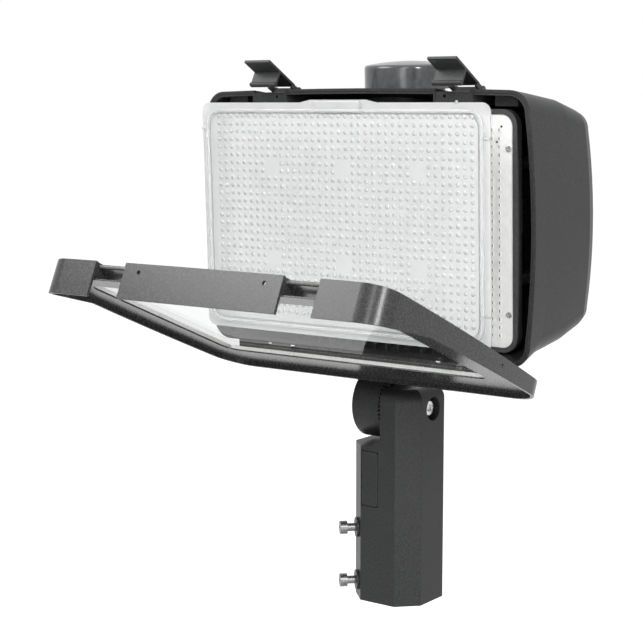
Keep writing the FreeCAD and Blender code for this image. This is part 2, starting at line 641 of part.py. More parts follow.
washer_at = "joint_right - knuckle_thickness - knuckle_gap - washer_thickness"
washer_disc = rod("washer_disc", "x", (washer_at, "0", "pivot_height"), "washer_radius", "washer_thickness")
washer_hole = rod("washer_hole", "x", (washer_at + " - 1", "0", "pivot_height"), "pivot_bolt_radius",
                  "washer_thickness + 2")
node(cut("pivot_washer", washer_disc, [washer_hole]), ROOT)

nut = doc.addObject("PartDesign::Body", "nut_blank")
nut_face = sketch_on(nut, "nut_face", "YZ_Plane", washer_at, "pivot_height")
nut_side = "nut_half_flat / sqrt(3)"
polygon(nut_face, [("nut_half_flat", "-" + nut_side), ("nut_half_flat", nut_side),
                   ("0", "2 * " + nut_side), ("-nut_half_flat", nut_side),
                   ("-nut_half_flat", "-" + nut_side), ("0", "-2 * " + nut_side)])
pad(nut, nut_face, "nut_thickness", back=True)
nut_hole = rod("nut_hole", "x", (washer_at + " - nut_thickness - 1", "0", "pivot_height"),
               "pivot_bolt_radius", "nut_thickness + 2")
node(cut("pivot_nut", nut, [nut_hole]), ROOT)

# Knuckle arm: toothed disc, neck and flange under the housing.
arm_left = "joint_right - knuckle_thickness"
tooth_root = "joint_right - serration_depth"
disc = rod("arm_disc", "x", (arm_left, "0", "0"), "knuckle_radius", "knuckle_thickness - serration_depth")
neck = box("arm_neck", (arm_left, "-neck_half_depth", "0"),
           ("knuckle_thickness - serration_depth", "2 * neck_half_depth",
            "arm_seat - arm_gasket_thickness - 0.5 * flange_thickness"))
flange_low = "arm_seat - arm_gasket_thickness - flange_thickness"
flange = box("arm_flange", ("-flange_left", "-flange_half_depth", flange_low),
             ("flange_left + flange_right", "2 * flange_half_depth", "flange_thickness"))
hub = rod("arm_hub", "x", (tooth_root, "0", "0"), "knuckle_radius - 2 * serration_width", "serration_depth")

teeth = doc.addObject("PartDesign::Body", "arm_teeth")
ring = sketch_on(teeth, "teeth_ring", "YZ_Plane", tooth_root)
circle(ring, "0", "0", "knuckle_radius")
circle(ring, "0", "0", "knuckle_radius - serration_width")
pad(teeth, ring, "serration_depth")
slot = sketch_on(teeth, "teeth_slot", "YZ_Plane", tooth_root)
rectangle(slot, "-0.5 * serration_slot", "knuckle_radius - serration_width - 1",
          "0.5 * serration_slot", "knuckle_radius + 1")
first_slot = pocket(teeth, slot, "serration_depth", back=True)
teeth.Tip = first_slot
doc.recompute()
around = teeth.newObject("PartDesign::PolarPattern", "teeth_around")
around.Originals = [first_slot]
around.Axis = (slot, ["N_Axis"])
around.Angle = 360
around.setExpression("Occurrences", bound("serration_count"))
teeth.Tip = around

arm_bore = rod("arm_bore", "x", (arm_left + " - 1", "0", "0"), "pivot_bolt_radius + running_fit",
               "knuckle_thickness + 2")
arm_duct = rod("arm_duct", "z", ("0.5 * (" + arm_left + " + " + tooth_root + ")", "0", "knuckle_radius"),
               "wire_hole_radius", "arm_seat")
bolt_spots = [("-flange_left + arm_bolt_inset", "-flange_half_depth + arm_bolt_inset"),
              ("-flange_left + arm_bolt_inset", "flange_half_depth - arm_bolt_inset"),
              ("flange_right - arm_bolt_inset", "-flange_half_depth + arm_bolt_inset"),
              ("flange_right - arm_bolt_inset", "flange_half_depth - arm_bolt_inset")]
flange_holes = [rod("arm_bolt_hole_%d" % k, "z", (x, y, flange_low + " - 1"), "arm_bolt_radius",
                    "flange_thickness + 2") for k, (x, y) in enumerate(bolt_spots)]
arm_solid = fuse("arm_solid", [disc, neck, flange, hub, teeth])
node(cut("knuckle_arm", arm_solid, [arm_bore, arm_duct] + flange_holes), HEAD)

gasket_low = "arm_seat - arm_gasket_thickness"
pad_sheet = box("arm_gasket_sheet", ("-flange_left", "-flange_half_depth", gasket_low),
                ("flange_left + flange_right", "2 * flange_half_depth", "arm_gasket_thickness"))
pad_holes = [rod("arm_gasket_hole_%d" % k, "z", (x, y, gasket_low + " - 1"), "arm_bolt_radius",
                 "arm_gasket_thickness + 2") for k, (x, y) in enumerate(bolt_spots)]
duct_x = "0.5 * (" + arm_left + " + " + tooth_root + ")"
pad_holes.append(rod("arm_gasket_duct", "z", (duct_x, "0", gasket_low + " - 1"), "wire_hole_radius",
                     "arm_gasket_thickness + 2"))
node(cut("arm_gasket", pad_sheet, pad_holes), HEAD)

arm_bolts = []
for k, (x, y) in enumerate(bolt_spots):
    arm_bolts.append(fuse("arm_bolt_%d" % k, [
        rod("arm_bolt_shank_%d" % k, "z", (x, y, flange_low), "arm_bolt_radius",
            "flange_thickness + arm_gasket_thickness + arm_bolt_bite"),
        rod("arm_bolt_head_%d" % k, "z", (x, y, flange_low + " - arm_bolt_head_length"),
            "arm_bolt_head_radius", "arm_bolt_head_length")]))
node(group("arm_bolts", arm_bolts), HEAD)

# Rear housing: a lofted shell with latch pockets, hinge lugs, ribs, corner posts and seats.
rim_y = -size("rim_setback")
rim_top = size("rim_top")
rim_bottom = size("rim_bottom")
back_y = size("rear_at") + size("rear_round")


def shell_outline(y, inset, drop, rise):
    return barrel(y, size("rim_half_width") - inset, rim_bottom + rise + inset, rim_top - drop - inset,
                  size("side_bulge"), size("top_crown"), size("rim_corner") - 0.9 * min(inset, 12),
                  size("rim_corner") - 0.9 * min(inset, 12))


def shell_solid(inset, front_y, rear_wall):
    """Housing's outside, or its hollow when inset by the wall."""
    sections = [(front_y, inset, 0, 0)]
    if front_y < rim_y:
        sections.append((rim_y, inset, 0, 0))
    sections.append((-size("belt_setback"), inset, size("belt_drop"), size("belt_rise")))
    sections.append((size("waist_at"), inset, size("waist_drop"), size("waist_rise")))
    bend = size("rear_round") - inset
    bend_at = back_y - rear_wall - bend
    for turned in (0, 30, 60, 90):
        share = math.radians(turned)
        sections.append((bend_at + bend * math.sin(share), inset + bend * (1 - math.cos(share)),
                         size("rear_drop"), size("rear_rise")))
    return Part.makeLoft([shell_outline(*section) for section in sections], True, True)


outside = shell_solid(0, rim_y, 0)
hollow = shell_solid(size("shell_wall"), rim_y - 5, size("back_wall"))
shell = outside.cut(hollow)

pocket_floor = size("pocket_floor")
pocket_wall = size("pocket_wall")
pocket_half = size("pocket_half")
added = []
taken = []
for side in (-1, 1):
    middle = side * size("latch_centre")
    added.append(outside.common(block(middle - pocket_half - pocket_wall, middle + pocket_half + pocket_wall,
                                      rim_y, -size("pocket_rear") + pocket_wall,
                                      pocket_floor - pocket_wall, rim_top + 5)))
    taken.append(block(middle - pocket_half, middle + pocket_half, rim_y - 1, -size("pocket_rear"),
                       pocket_floor, rim_top + 5))
    post = side * size("post_centre")
    added.append(outside.common(block(post - size("post_width") / 2, post + size("post_width") / 2,
                                      rim_y + size("post_front"),
                                      rim_y + size("post_front") + size("post_depth"),
                                      rim_top - size("post_drop"), rim_top)))

tray_low = size("board_low") - size("tray_border")
for k in range(-6, 7):
    centre = k * size("rib_pitch")
    added.append(outside.common(block(centre - size("rib_thickness") / 2, centre + size("rib_thickness") / 2,
                                      -size("rib_front"), -size("rib_front") + size("rib_length"),
                                      rim_bottom, tray_low - size("rib_clear"))))

hinge_y = -size("hinge_at")
hinge_z = size("hinge_up")
knuckle = size("hinge_knuckle_radius")
for side in (-1, 1):
    left = side * size("hinge_centre") - size("hinge_lug_width") / 2
    right = left + size("hinge_lug_width")
    added.append(bar(ACROSS, (left, hinge_y, hinge_z), knuckle, right - left))
    added.append(block(left, right, rim_y, hinge_y + knuckle, hinge_z,
                       rim_bottom + size("shell_wall") + 0.5))
    taken.append(bar(ACROSS, (left - 1, hinge_y, hinge_z), size("hinge_pin_radius"), right - left + 2))

# Ribbed flange that hangs from the rim's bottom between and beside the hinges.
flange_y = rim_y + size("drip_setback")
flange_low = rim_bottom - size("drip_drop")
flange_high = rim_bottom + size("shell_wall")
flange_end = size("rim_half_width") - size("drip_inset")
hinge_half = (size("hinge_lug_width") / 2 + size("hinge_side_gap") + size("hinge_ear_width")
              + size("drip_clear"))
inner_end = size("hinge_centre") - hinge_half
outer_start = size("hinge_centre") + hinge_half
for left, right in ((-flange_end, -outer_start), (-inner_end, inner_end), (outer_start, flange_end)):
    added.append(block(left, right, flange_y, flange_y + size("drip_wall"), flange_low, flange_high))
for k in range(-6, 7):
    centre = k * size("rib_pitch")
    reach = abs(centre) + size("rib_thickness") / 2
    if reach < inner_end or outer_start < reach - size("rib_thickness"):
        added.append(block(centre - size("rib_thickness") / 2, centre + size("rib_thickness") / 2,
                           rim_y, flange_y, flange_low, flange_high))

arm_middle = size("joint_right") - (size("knuckle_thickness") + size("serration_depth")) / 2
added.append(block(-size("flange_left"), size("flange_right"), -size("flange_half_depth"),
                   size("flange_half_depth"), size("arm_seat"), size("arm_seat") + size("arm_seat_block")))
taken.append(bar(UPWARD, (arm_middle, 0, size("arm_seat") - 5), size("wire_hole_radius"),
                 2 * size("arm_seat_block")))
for across in (-size("flange_left") + size("arm_bolt_inset"), size("flange_right") - size("arm_bolt_inset")):
    for deep in (-1, 1):
        spot = (across, deep * (size("flange_half_depth") - size("arm_bolt_inset")), size("arm_seat") - 1)
        taken.append(bar(UPWARD, spot, size("arm_bolt_radius"), size("arm_bolt_bite") + 1))

cell_y = size("cell_at")
seat_deep = size("cell_seat_radius")
seat_core = bar(UPWARD, (0, cell_y, size("cell_seat") - seat_deep), size("cell_seat_radius"), seat_deep)
added.append(seat_core.cut(hollow))
added.append(bar(UPWARD, (0, cell_y, size("cell_seat") - 6), size("cell_seat_radius"), 6))
taken.append(bar(UPWARD, (0, cell_y, size("cell_seat")), size("receptacle_radius") + 1.5, 20))
taken.append(bar(UPWARD, (0, cell_y, size("cell_seat") - seat_deep),
                 size("receptacle_body_radius") + size("receptacle_hole_gap"), 1.5 * seat_deep))

housing = shell.fuse(added)
housing = housing.cut(Part.makeCompound(taken)).removeSplitter()
coded("rear_housing", housing, HEAD)

# Gasket inside the rim, left out where the latch pockets stand.
band_wide = 2.0
gasket_front = rim_y + 0.5
gasket_deep = 6.0


def rim_band(inset, y, deep):
    ring_wire = shell_outline(y, inset, 0, 0)
    return Part.Face(ring_wire).extrude(Vector(0, deep, 0))


outer_band = rim_band(size("shell_wall") + 0.02, gasket_front, gasket_deep).common(hollow)
rim_gasket = outer_band.cut(rim_band(size("shell_wall") + band_wide, gasket_front - 1, gasket_deep + 2))
for side in (-1, 1):
    middle = side * size("latch_centre")
    reach = pocket_half + pocket_wall + 0.3
    rim_gasket = rim_gasket.cut(block(middle - reach, middle + reach, rim_y - 2, 0,
                                      pocket_floor - pocket_wall - 0.3, rim_top + 5))
for k in range(-6, 7):
    centre = k * size("rib_pitch")
    reach = size("rib_thickness") / 2 + 0.3
    rim_gasket = rim_gasket.cut(block(centre - reach, centre + reach, -size("rib_front") - 0.3, 0,
                                      rim_bottom, tray_low))
for side in (-1, 1):
    left = side * size("hinge_centre") - size("hinge_lug_width") / 2 - 0.3
    rim_gasket = rim_gasket.cut(block(left, left + size("hinge_lug_width") + 0.6, hinge_y - knuckle,
                                      hinge_y + knuckle + 1, rim_bottom,
                                      rim_bottom + size("shell_wall") + 0.8))
coded("rim_gasket", rim_gasket, HEAD)

# Hinge pins: through the housing's lug and the door's two ears.
pin_reach = "0.5 * hinge_lug_width + hinge_side_gap + hinge_ear_width"
node(group("hinge_pins", [
    rod("hinge_pin_%d" % k, "x", (sign + "hinge_centre - (" + pin_reach + ")", "-hinge_at", "hinge_up"),
        "hinge_pin_radius", "2 * (" + pin_reach + ")") for k, sign in enumerate(("-", ""))]), HEAD)

# Latch brackets and pivot pins on the pocket floors.
brackets = []
pins = []
for k, sign in enumerate(("-", "")):
    body = doc.addObject("PartDesign::Body", "bracket_blank_%d" % k)
    bracket_half = "latch_half_width - strap_thickness - latch_side_gap"
    outline = sketch_on(body, "bracket_outline_%d" % k, "YZ_Plane",
                        sign + "latch_centre - (" + bracket_half + ")")
    polygon(outline, [("-rim_setback + bracket_front_gap", "pocket_floor"),
                      ("-pocket_rear - 1", "pocket_floor"),
                      ("-pocket_rear - 1", "latch_pivot_up"),
                      ("-latch_pivot_at + 0.8 * latch_eye_radius", "latch_pivot_up + 0.8 * latch_eye_radius"),
                      ("-latch_pivot_at - 0.8 * latch_eye_radius", "latch_pivot_up + 0.8 * latch_eye_radius"),
                      ("-latch_pivot_at - 2 * latch_eye_radius", "bracket_face"),
                      ("-rim_setback + bracket_front_gap", "bracket_face")])
    pad(body, outline, "2 * (" + bracket_half + ")")
    pin_hole = rod("bracket_pin_hole_%d" % k, "x",
                   (sign + "latch_centre - latch_half_width", "-latch_pivot_at", "latch_pivot_up"),
                   "latch_pin_radius", "2 * latch_half_width")
    front = box("bracket_front_%d" % k,
                (sign + "latch_centre - (pocket_half - bracket_side_gap)",
                 "-rim_setback + bracket_front_gap", "pocket_floor"),
                ("2 * (pocket_half - bracket_side_gap)", "bracket_plate", "bracket_face - pocket_floor"))
    face_hole = rod("bracket_face_hole_%d" % k, "y",
                    (sign + "(latch_centre - bracket_hole_in)", "-rim_setback",
                     "bracket_face - bracket_hole_drop"), "bracket_hole_radius", "1.5 * bracket_plate")
    brackets.append(cut("latch_bracket_%d" % k, fuse("bracket_solid_%d" % k, [body, front]),
                        [pin_hole, face_hole]))
    pins.append(rod("latch_pin_%d" % k, "x",
                    (sign + "latch_centre - latch_half_width", "-latch_pivot_at", "latch_pivot_up"),
                    "latch_pin_radius", "2 * latch_half_width"))
node(group("latch_brackets", brackets), HEAD)
node(group("latch_pins", pins), HEAD)

# Latch levers, drawn closed about their pivot and then raised.
web_face = "-(rim_setback + parting_gap + catch_rod_ahead + catch_rod_radius + hook_gap - latch_pivot_at)"
for label, sign in (("latch_left", "-"), ("latch_right", "")):
    solids = []
    for hand, edge in (("l", "-latch_half_width"), ("r", "latch_half_width - strap_thickness")):
        solids.append(box(label + "_cheek_" + hand, (edge, "-latch_strap", "-strap_half_height"),
                          ("strap_thickness", "latch_strap", "2 * strap_half_height")))
        solids.append(rod(label + "_eye_" + hand, "x", (edge, "0", "0"), "latch_eye_radius",
                          "strap_thickness"))
    web = box(label + "_web", ("-latch_half_width", web_face + " - web_thickness", "-web_drop"),
              ("2 * latch_half_width", "web_thickness", "web_drop + strap_half_height"))
    bead = rod(label + "_bead", "x",
               ("-latch_half_width", web_face + " - web_thickness", "-web_drop + latch_bead_radius"),
               "latch_bead_radius", "2 * latch_half_width")
    lip = doc.addObject("PartDesign::Body", label + "_tab")
    tab_side = sketch_on(lip, label + "_tab_side", "YZ_Plane", "-latch_half_width")
    polygon(tab_side, [("-latch_plate_back", "latch_plate_low"),
                       ("-latch_plate_back", "latch_plate_low + tab_thickness"),
                       ("-tab_reach", "tab_rise"),
                       ("-tab_reach", "tab_rise - tab_thickness")])
    pad(lip, tab_side, "2 * latch_half_width")
    lever = fuse(label + "_solid", solids + [web, bead, lip])
    eye_hole = rod(label + "_eye_hole", "x", ("-latch_half_width - 1", "0", "0"),
                   "latch_pin_radius + running_fit", "2 * latch_half_width + 2")
    whole = cut(label, lever, [eye_hole])
    centre = size("latch_centre") if sign == "" else -size("latch_centre")
    node(whole, HEAD * Placement(Vector(centre, -size("latch_pivot_at"), size("latch_pivot_up")),
                                 Rotation(Vector(1, 0, 0), -size("latch_raise_angle"))))

# Door frame, drawn closed: skirt with a flared visor, recessed border plate, ears and bosses.
bottom = size("door_bottom")
skirt_wall = size("skirt_wall")


def door_prism(inset):
    wire = barrel(parting, size("door_half_width") - inset, bottom + inset, rim_top - inset,
                  size("door_bulge"), size("top_crown"), size("door_low_corner") - inset,
                  size("door_top_corner") - inset)
    return Part.Face(wire).extrude(Vector(0, -2 * size("skirt_top"), 0))


def lip_y(z, behind):
    """Distance along y of a plane that lies behind the door's front rim."""
    return front_low + behind - (z - bottom) * math.tan(lean)


wide = size("door_half_width") + 20
over = rim_top + 20
flare = (front_knee - front_top) / (rim_top - size("knee_up"))
side_view = side_prism(wide, [(parting, bottom - 5), (parting, over),
                              (front_top - flare * (over - rim_top), over),
                              (front_knee, size("knee_up")), (front_low, bottom),
                              (front_low, bottom - 5)])
lip_near = size("lip_recess")
lip_far = lip_near + size("lip_thickness")
lip_slab = side_prism(wide, [(lip_y(bottom - 5, lip_near), bottom - 5), (lip_y(over, lip_near), over),
                             (lip_y(over, lip_far), over), (lip_y(bottom - 5, lip_far), bottom - 5)])
window_w = size("window_half_width")
window = block(-window_w, window_w, parting - 2 * size("skirt_top"), parting, size("window_low"),
               size("window_high"))
window = window.makeFillet(size("window_corner"), [edge for edge in window.Edges if runs_deep(edge)])
inner_prism = door_prism(skirt_wall)
skirt = door_prism(0).common(side_view).cut(inner_prism)
plate = inner_prism.common(lip_slab).cut(window)

extra = []
gaps = []
gone = []
rod_y = parting - size("catch_rod_ahead")
rod_z = rim_top - size("catch_rod_drop")
gap_half = size("gap_half")
boss_w = size("rod_boss_width")
floor_high = rim_top - size("gap_depth")
for side in (-1, 1):
    middle = side * size("latch_centre")
    gaps.append(block(middle - gap_half, middle + gap_half, parting - 2 * size("skirt_top"), parting + 1,
                      floor_high, rim_top + 5))
    extra.append(block(middle - gap_half - boss_w, middle + gap_half + boss_w,
                       lip_y(floor_high, lip_far) - 0.5, parting - size("parting_gap"),
                       floor_high - size("gap_floor"), floor_high))
    for end in (-1, 1):
        near = middle + end * gap_half
        far = middle + end * (gap_half + boss_w)
        extra.append(block(min(near, far), max(near, far), lip_y(floor_high, lip_far) - 0.5,
                           parting - size("parting_gap"), floor_high - size("gap_floor"),
                           rim_top - skirt_wall - 0.2 * size("top_crown")))
    gone.append(bar(ACROSS, (middle - gap_half - 0.8 * boss_w, rod_y, rod_z), size("catch_rod_radius"),
                    2 * gap_half + 1.6 * boss_w))
    centre = side * size("hinge_centre")
    lug_half = size("hinge_lug_width") / 2 + size("hinge_side_gap")
    ear = size("hinge_ear_width")
    for start in (centre - lug_half - ear, centre + lug_half):
        extra.append(bar(ACROSS, (start, hinge_y, hinge_z), knuckle, ear))
        extra.append(block(start, start + ear, lip_y(hinge_z, lip_far) - 0.5, hinge_y,
                           hinge_z - knuckle, hinge_z + 0.6 * knuckle))
        gone.append(bar(ACROSS, (start - 1, hinge_y, hinge_z),
                        size("hinge_pin_radius") + size("running_fit"), ear + 2))
    gone.append(bar(UPWARD, (side * size("top_hole_at"), parting - size("top_hole_ahead"),
                             rim_top - 5 * skirt_wall), size("skirt_hole_radius"), 10 * skirt_wall))
    gone.append(bar(ACROSS, (side * size("door_half_width") - 5 * skirt_wall,
                             parting - size("side_hole_ahead"), size("side_hole_up")),
                    size("skirt_hole_radius"), 10 * skirt_wall))
door = skirt.cut(Part.makeCompound(gaps)).fuse([plate] + extra)
door = door.cut(Part.makeCompound(gone)).removeSplitter()
coded("door_frame", door, DOOR)

node(group("catch_rods", [
    rod("catch_rod_%d" % k, "x",
        (sign + "latch_centre - gap_half - 0.8 * rod_boss_width",
         "-(rim_setback + parting_gap + catch_rod_ahead)", "rim_top - catch_rod_drop"),
        "catch_rod_radius", "2 * gap_half + 1.6 * rod_boss_width")
    for k, sign in enumerate(("-", ""))]), DOOR)

# Door glass and the silicone bed that bonds it, drawn on the rear face of the border plate.
# Heights here run along the plate from the door's bottom.
glass_low = "window_low - door_bottom - glass_overlap"
glass_high = "window_high - door_bottom + glass_overlap"
glass_side = "window_half_width + glass_overlap"
seal = doc.addObject("PartDesign::Body", "glass_gasket")
seal_face = sketch_on(seal, "seal_face", "XZ_Plane")
rectangle(seal_face, "-(" + glass_side + ")", glass_low, glass_side, glass_high)
rectangle(seal_face, "-(" + glass_side + ") + glass_gasket_width", glass_low + " + glass_gasket_width",
          glass_side + " - glass_gasket_width", glass_high + " - glass_gasket_width")
pad(seal, seal_face, "glass_gasket_thickness", back=True)
node(seal, PLATE)

glass = doc.addObject("PartDesign::Body", "door_glass")
pane = sketch_on(glass, "pane", "XZ_Plane", "-glass_gasket_thickness")
rectangle(pane, "-(" + glass_side + ")", glass_low, glass_side, glass_high)
sheet_pad = pad(glass, pane, "glass_thickness", back=True)
round_edges(glass, sheet_pad, "0.5 * glass_overlap", runs_deep)
node(glass, PLATE)

# Light engine: tray, board and their screws, on four posts from the rear wall.
tray_front = "board_front + tray_lip"
tray_half = "board_half_width + tray_border"
tray_bottom = "board_low - tray_border"
tray_high = "board_low + board_tall + tray_border"
tray_middle = "board_low + 0.5 * board_tall"
post_spots = [(x, tray_middle + z) for x in ("-tray_post_x", "tray_post_x")
              for z in (" - 0.5 * tray_post_pitch", " + 0.5 * tray_post_pitch")]
tray = doc.addObject("PartDesign::Body", "tray_pan")
tray_face = sketch_on(tray, "tray_face", "XZ_Plane", tray_front)
rectangle(tray_face, "-(" + tray_half + ")", tray_bottom, tray_half, tray_high)
tray_pad = pad(tray, tray_face, "tray_depth", back=True)
tray_round = round_edges(tray, tray_pad, "tray_corner", runs_deep)
bed = sketch_on(tray, "tray_bed", "XZ_Plane", tray_front)
rectangle(bed, "-board_half_width", "board_low", "board_half_width", "board_low + board_tall")
bed_pocket = pocket(tray, bed, "tray_lip + board_thickness")
round_edges(tray, bed_pocket, "board_corner",
            lambda edge: runs_deep(edge) and abs(abs(edge.CenterOfMass.x) - size("board_half_width")) < 0.01)
tray_back = "-(" + tray_front + ") + tray_depth"
tray_holes = []
for k, (x, z) in enumerate(post_spots):
    tray_holes.append(rod("tray_hole_%d" % k, "y", (x, "-(" + tray_front + ") - 1", z), "tray_screw_radius",
                          "tray_depth + 2"))
board_spots = [(x, tray_middle + z) for x in ("-(board_half_width - board_screw_inset)",
                                              "board_half_width - board_screw_inset")
               for z in (" - 0.5 * board_screw_pitch", " + 0.5 * board_screw_pitch")]
for k, (x, z) in enumerate(board_spots):
    tray_holes.append(rod("tray_board_hole_%d" % k, "y", (x, "-board_front", z), "board_screw_radius",
                          "board_screw_bite"))
node(cut("led_tray", tray, tray_holes), HEAD)

board = doc.addObject("PartDesign::Body", "board_sheet")
board_face = sketch_on(board, "board_face", "XZ_Plane", "board_front")
rectangle(board_face, "-board_half_width", "board_low", "board_half_width", "board_low + board_tall")
board_pad = pad(board, board_face, "board_thickness", back=True)
round_edges(board, board_pad, "board_corner", runs_deep)
board_holes = [rod("board_hole_%d" % k, "y", (x, "-board_front - 1", z), "board_screw_radius",
                   "board_thickness + 2") for k, (x, z) in enumerate(board_spots)]
board_holes += [rod("board_access_%d" % k, "y", (x, "-board_front - 1", z), "tray_screw_head_radius + 0.5",
                    "board_thickness + 2") for k, (x, z) in enumerate(post_spots)]
node(cut("led_board", board, board_holes), HEAD)

board_screws = []
for k, (x, z) in enumerate(board_spots):
    board_screws.append(fuse("board_screw_%d" % k, [
        rod("board_screw_shank_%d" % k, "y", (x, "-board_front", z), "board_screw_radius",
            "board_screw_bite"),
        rod("board_screw_head_%d" % k, "y", (x, "-board_front - board_screw_head_length", z),
            "board_screw_head_radius", "board_screw_head_length")]))
node(group("board_screws", board_screws), HEAD)

wall_y = "rear_at + rear_round - back_wall"
posts = []
tray_screws = []
screw_from = "-board_front + board_thickness"
for k, (x, z) in enumerate(post_spots):
    whole = rod("tray_post_blank_%d" % k, "y", (x, tray_back, z), "tray_post_radius",
                wall_y + " - (" + tray_back + ")")
    hole = rod("tray_post_hole_%d" % k, "y", (x, tray_back + " - 1", z), "tray_screw_radius",
               "tray_screw_bite + 1")
    posts.append(cut("tray_post_%d" % k, whole, [hole]))
    tray_screws.append(fuse("tray_screw_%d" % k, [
        rod("tray_screw_shank_%d" % k, "y", (x, screw_from, z), "tray_screw_radius",
            tray_back + " + tray_screw_bite - (" + screw_from + ")"),
        rod("tray_screw_head_%d" % k, "y", (x, screw_from + " - tray_screw_head_length", z),
            "tray_screw_head_radius", "tray_screw_head_length")]))
node(group("tray_posts", posts), HEAD)
node(group("tray_screws", tray_screws), HEAD)

# Lens panel, drawn seated on the tray and then pulled forwards.
lens = doc.addObject("PartDesign::Body", "lens_panel")
lens_rear = tray_front + " + lens_seat_gap"
lens_sheet = sketch_on(lens, "lens_sheet", "XZ_Plane", lens_rear)
rectangle(lens_sheet, "-lens_half_width", "lens_low", "lens_half_width", "lens_low + lens_tall")
lens_pad = pad(lens, lens_sheet, "lens_thickness")
lens_round = round_edges(lens, lens_pad, "lens_corner", runs_deep)
field = sketch_on(lens, "lens_field", "XZ_Plane", lens_rear + " + lens_thickness")
rectangle(field, "-lens_half_width + lens_border", "lens_low + lens_border",
          "lens_half_width - lens_border", "lens_low + lens_tall - lens_border")
field_pad = pad(lens, field, "lens_field_rise")
field_side = size("lens_half_width") - size("lens_border")
round_edges(lens, field_pad, "lens_field_corner",
            lambda edge: runs_deep(edge) and abs(abs(edge.CenterOfMass.x) - field_side) < 0.01)
tab = sketch_on(lens, "lens_tab", "XZ_Plane", lens_rear)
polygon(tab, [("-lens_tab_half - lens_tab_ramp", "lens_low + lens_tall - lens_tab_root"),
              ("-lens_tab_half - lens_tab_ramp", "lens_low + lens_tall"),
              ("-lens_tab_half", "lens_low + lens_tall + lens_tab_rise"),
              ("lens_tab_half", "lens_low + lens_tall + lens_tab_rise"),
              ("lens_tab_half + lens_tab_ramp", "lens_low + lens_tall"),
              ("lens_tab_half + lens_tab_ramp", "lens_low + lens_tall - lens_tab_root")])
pad(lens, tab, "lens_thickness")
node(lens, LENS)

# LED driver on the rear wall, with its screws, and the terminal block beside it.
driver_box = box("driver_case", ("-driver_half_width", wall_y + " - driver_depth", "driver_low"),
                 ("2 * driver_half_width", "driver_depth", "driver_tall"))
driver_plate = box("driver_tabs", ("-driver_half_width - driver_tab", wall_y + " - driver_tab_thickness",
                                   "driver_low + 0.25 * driver_tall"),
                   ("2 * (driver_half_width + driver_tab)", "driver_tab_thickness", "0.5 * driver_tall"))
driver_mid = "driver_low + 0.5 * driver_tall"
driver_spots = ["-(driver_half_width + 0.5 * driver_tab)", "driver_half_width + 0.5 * driver_tab"]
driver_holes = [rod("driver_hole_%d" % k, "y", (x, wall_y + " - driver_tab_thickness - 1", driver_mid),
                    "driver_screw_radius", "driver_tab_thickness + 2") for k, x in enumerate(driver_spots)]
node(cut("led_driver", fuse("driver_solid", [driver_box, driver_plate]), driver_holes), HEAD)
driver_screws = []
for k, x in enumerate(driver_spots):
    driver_screws.append(fuse("driver_screw_%d" % k, [
        rod("driver_shank_%d" % k, "y", (x, wall_y + " - driver_tab_thickness", driver_mid),
            "driver_screw_radius", "driver_tab_thickness"),
        rod("driver_head_%d" % k, "y",
            (x, wall_y + " - driver_tab_thickness - driver_screw_head_length", driver_mid),
            "driver_screw_head_radius", "driver_screw_head_length")]))
node(group("driver_screws", driver_screws), HEAD)

terminal = box("terminal_case", ("-0.5 * terminal_width", wall_y + " - terminal_depth", "terminal_low"),
               ("terminal_width", "terminal_depth", "terminal_tall"))
ways = [rod("terminal_way_%d" % k, "y",
            ("(%d - 1) * 0.3 * terminal_width" % k, wall_y + " - terminal_depth - 1",
             "terminal_low + 0.5 * terminal_tall"), "0.2 * terminal_tall", "0.4 * terminal_depth + 1")
        for k in range(3)]
node(cut("terminal_block", terminal, ways), HEAD)

# Grommet in the wiring hole of the housing's arm seat.
seat_top = "arm_seat + arm_seat_block"
sleeve = rod("grommet_sleeve", "z", (duct_x, "0", "arm_seat"), "wire_hole_radius",
             "arm_seat_block + grommet_wall")
collar = rod("grommet_collar", "z", (duct_x, "0", seat_top), "wire_hole_radius + grommet_lip", "grommet_wall")
wire_way = rod("grommet_way", "z", (duct_x, "0", "arm_seat - 1"), "wire_hole_radius - grommet_wall",
               "arm_seat_block + 6 + grommet_wall")
node(cut("wire_grommet", fuse("grommet_solid", [sleeve, collar]), [wire_way]), HEAD)

# Photocell: gasket, twist-lock receptacle, cap and contact prongs.
seat_z = "cell_seat + cell_gasket_thickness"
seal_disc = rod("cell_gasket_disc", "z", ("0", "cell_at", "cell_seat"), "receptacle_radius",
                "cell_gasket_thickness")
seal_hole = rod("cell_gasket_hole", "z", ("0", "cell_at", "cell_seat - 1"),
                "receptacle_body_radius + receptacle_hole_gap", "cell_gasket_thickness + 2")
node(cut("receptacle_gasket", seal_disc, [seal_hole]), HEAD)
cup = rod("receptacle_cup", "z", ("0", "cell_at", seat_z + " - receptacle_depth"), "receptacle_body_radius",
          "receptacle_depth + receptacle_flange")
brim = rod("receptacle_brim", "z", ("0", "cell_at", seat_z), "receptacle_radius", "receptacle_flange")
well = rod("receptacle_well", "z", ("0", "cell_at", seat_z + " + receptacle_flange - receptacle_well_depth"),
           "receptacle_well_radius", "receptacle_well_depth + 1")
node(cut("photocell_receptacle", fuse("receptacle_solid", [cup, brim]), [well]), HEAD)

cell_low = seat_z + " + receptacle_flange + cell_gap"
cap_low = size("cell_seat") + size("cell_gasket_thickness") + size("receptacle_flange") + size("cell_gap")
cap_r = size("cell_radius")
rounding = size("cell_shoulder")
brow = cap_low + size("cell_wall_height")
summit = brow + size("cell_dome")
crest = size("cell_dome") - rounding
crown_down = ((cap_r - rounding) ** 2 - crest ** 2) / (2 * crest)
crown_r = size("cell_dome") + crown_down
meet = math.atan2(cap_r - rounding, crown_down)


def on_shoulder(turned):
    return Vector(cap_r - rounding + rounding * math.sin(turned), cell_y, brow + rounding * math.cos(turned))


def on_crown(turned):
    return Vector(crown_r * math.sin(turned), cell_y, brow - crown_down + crown_r * math.cos(turned))


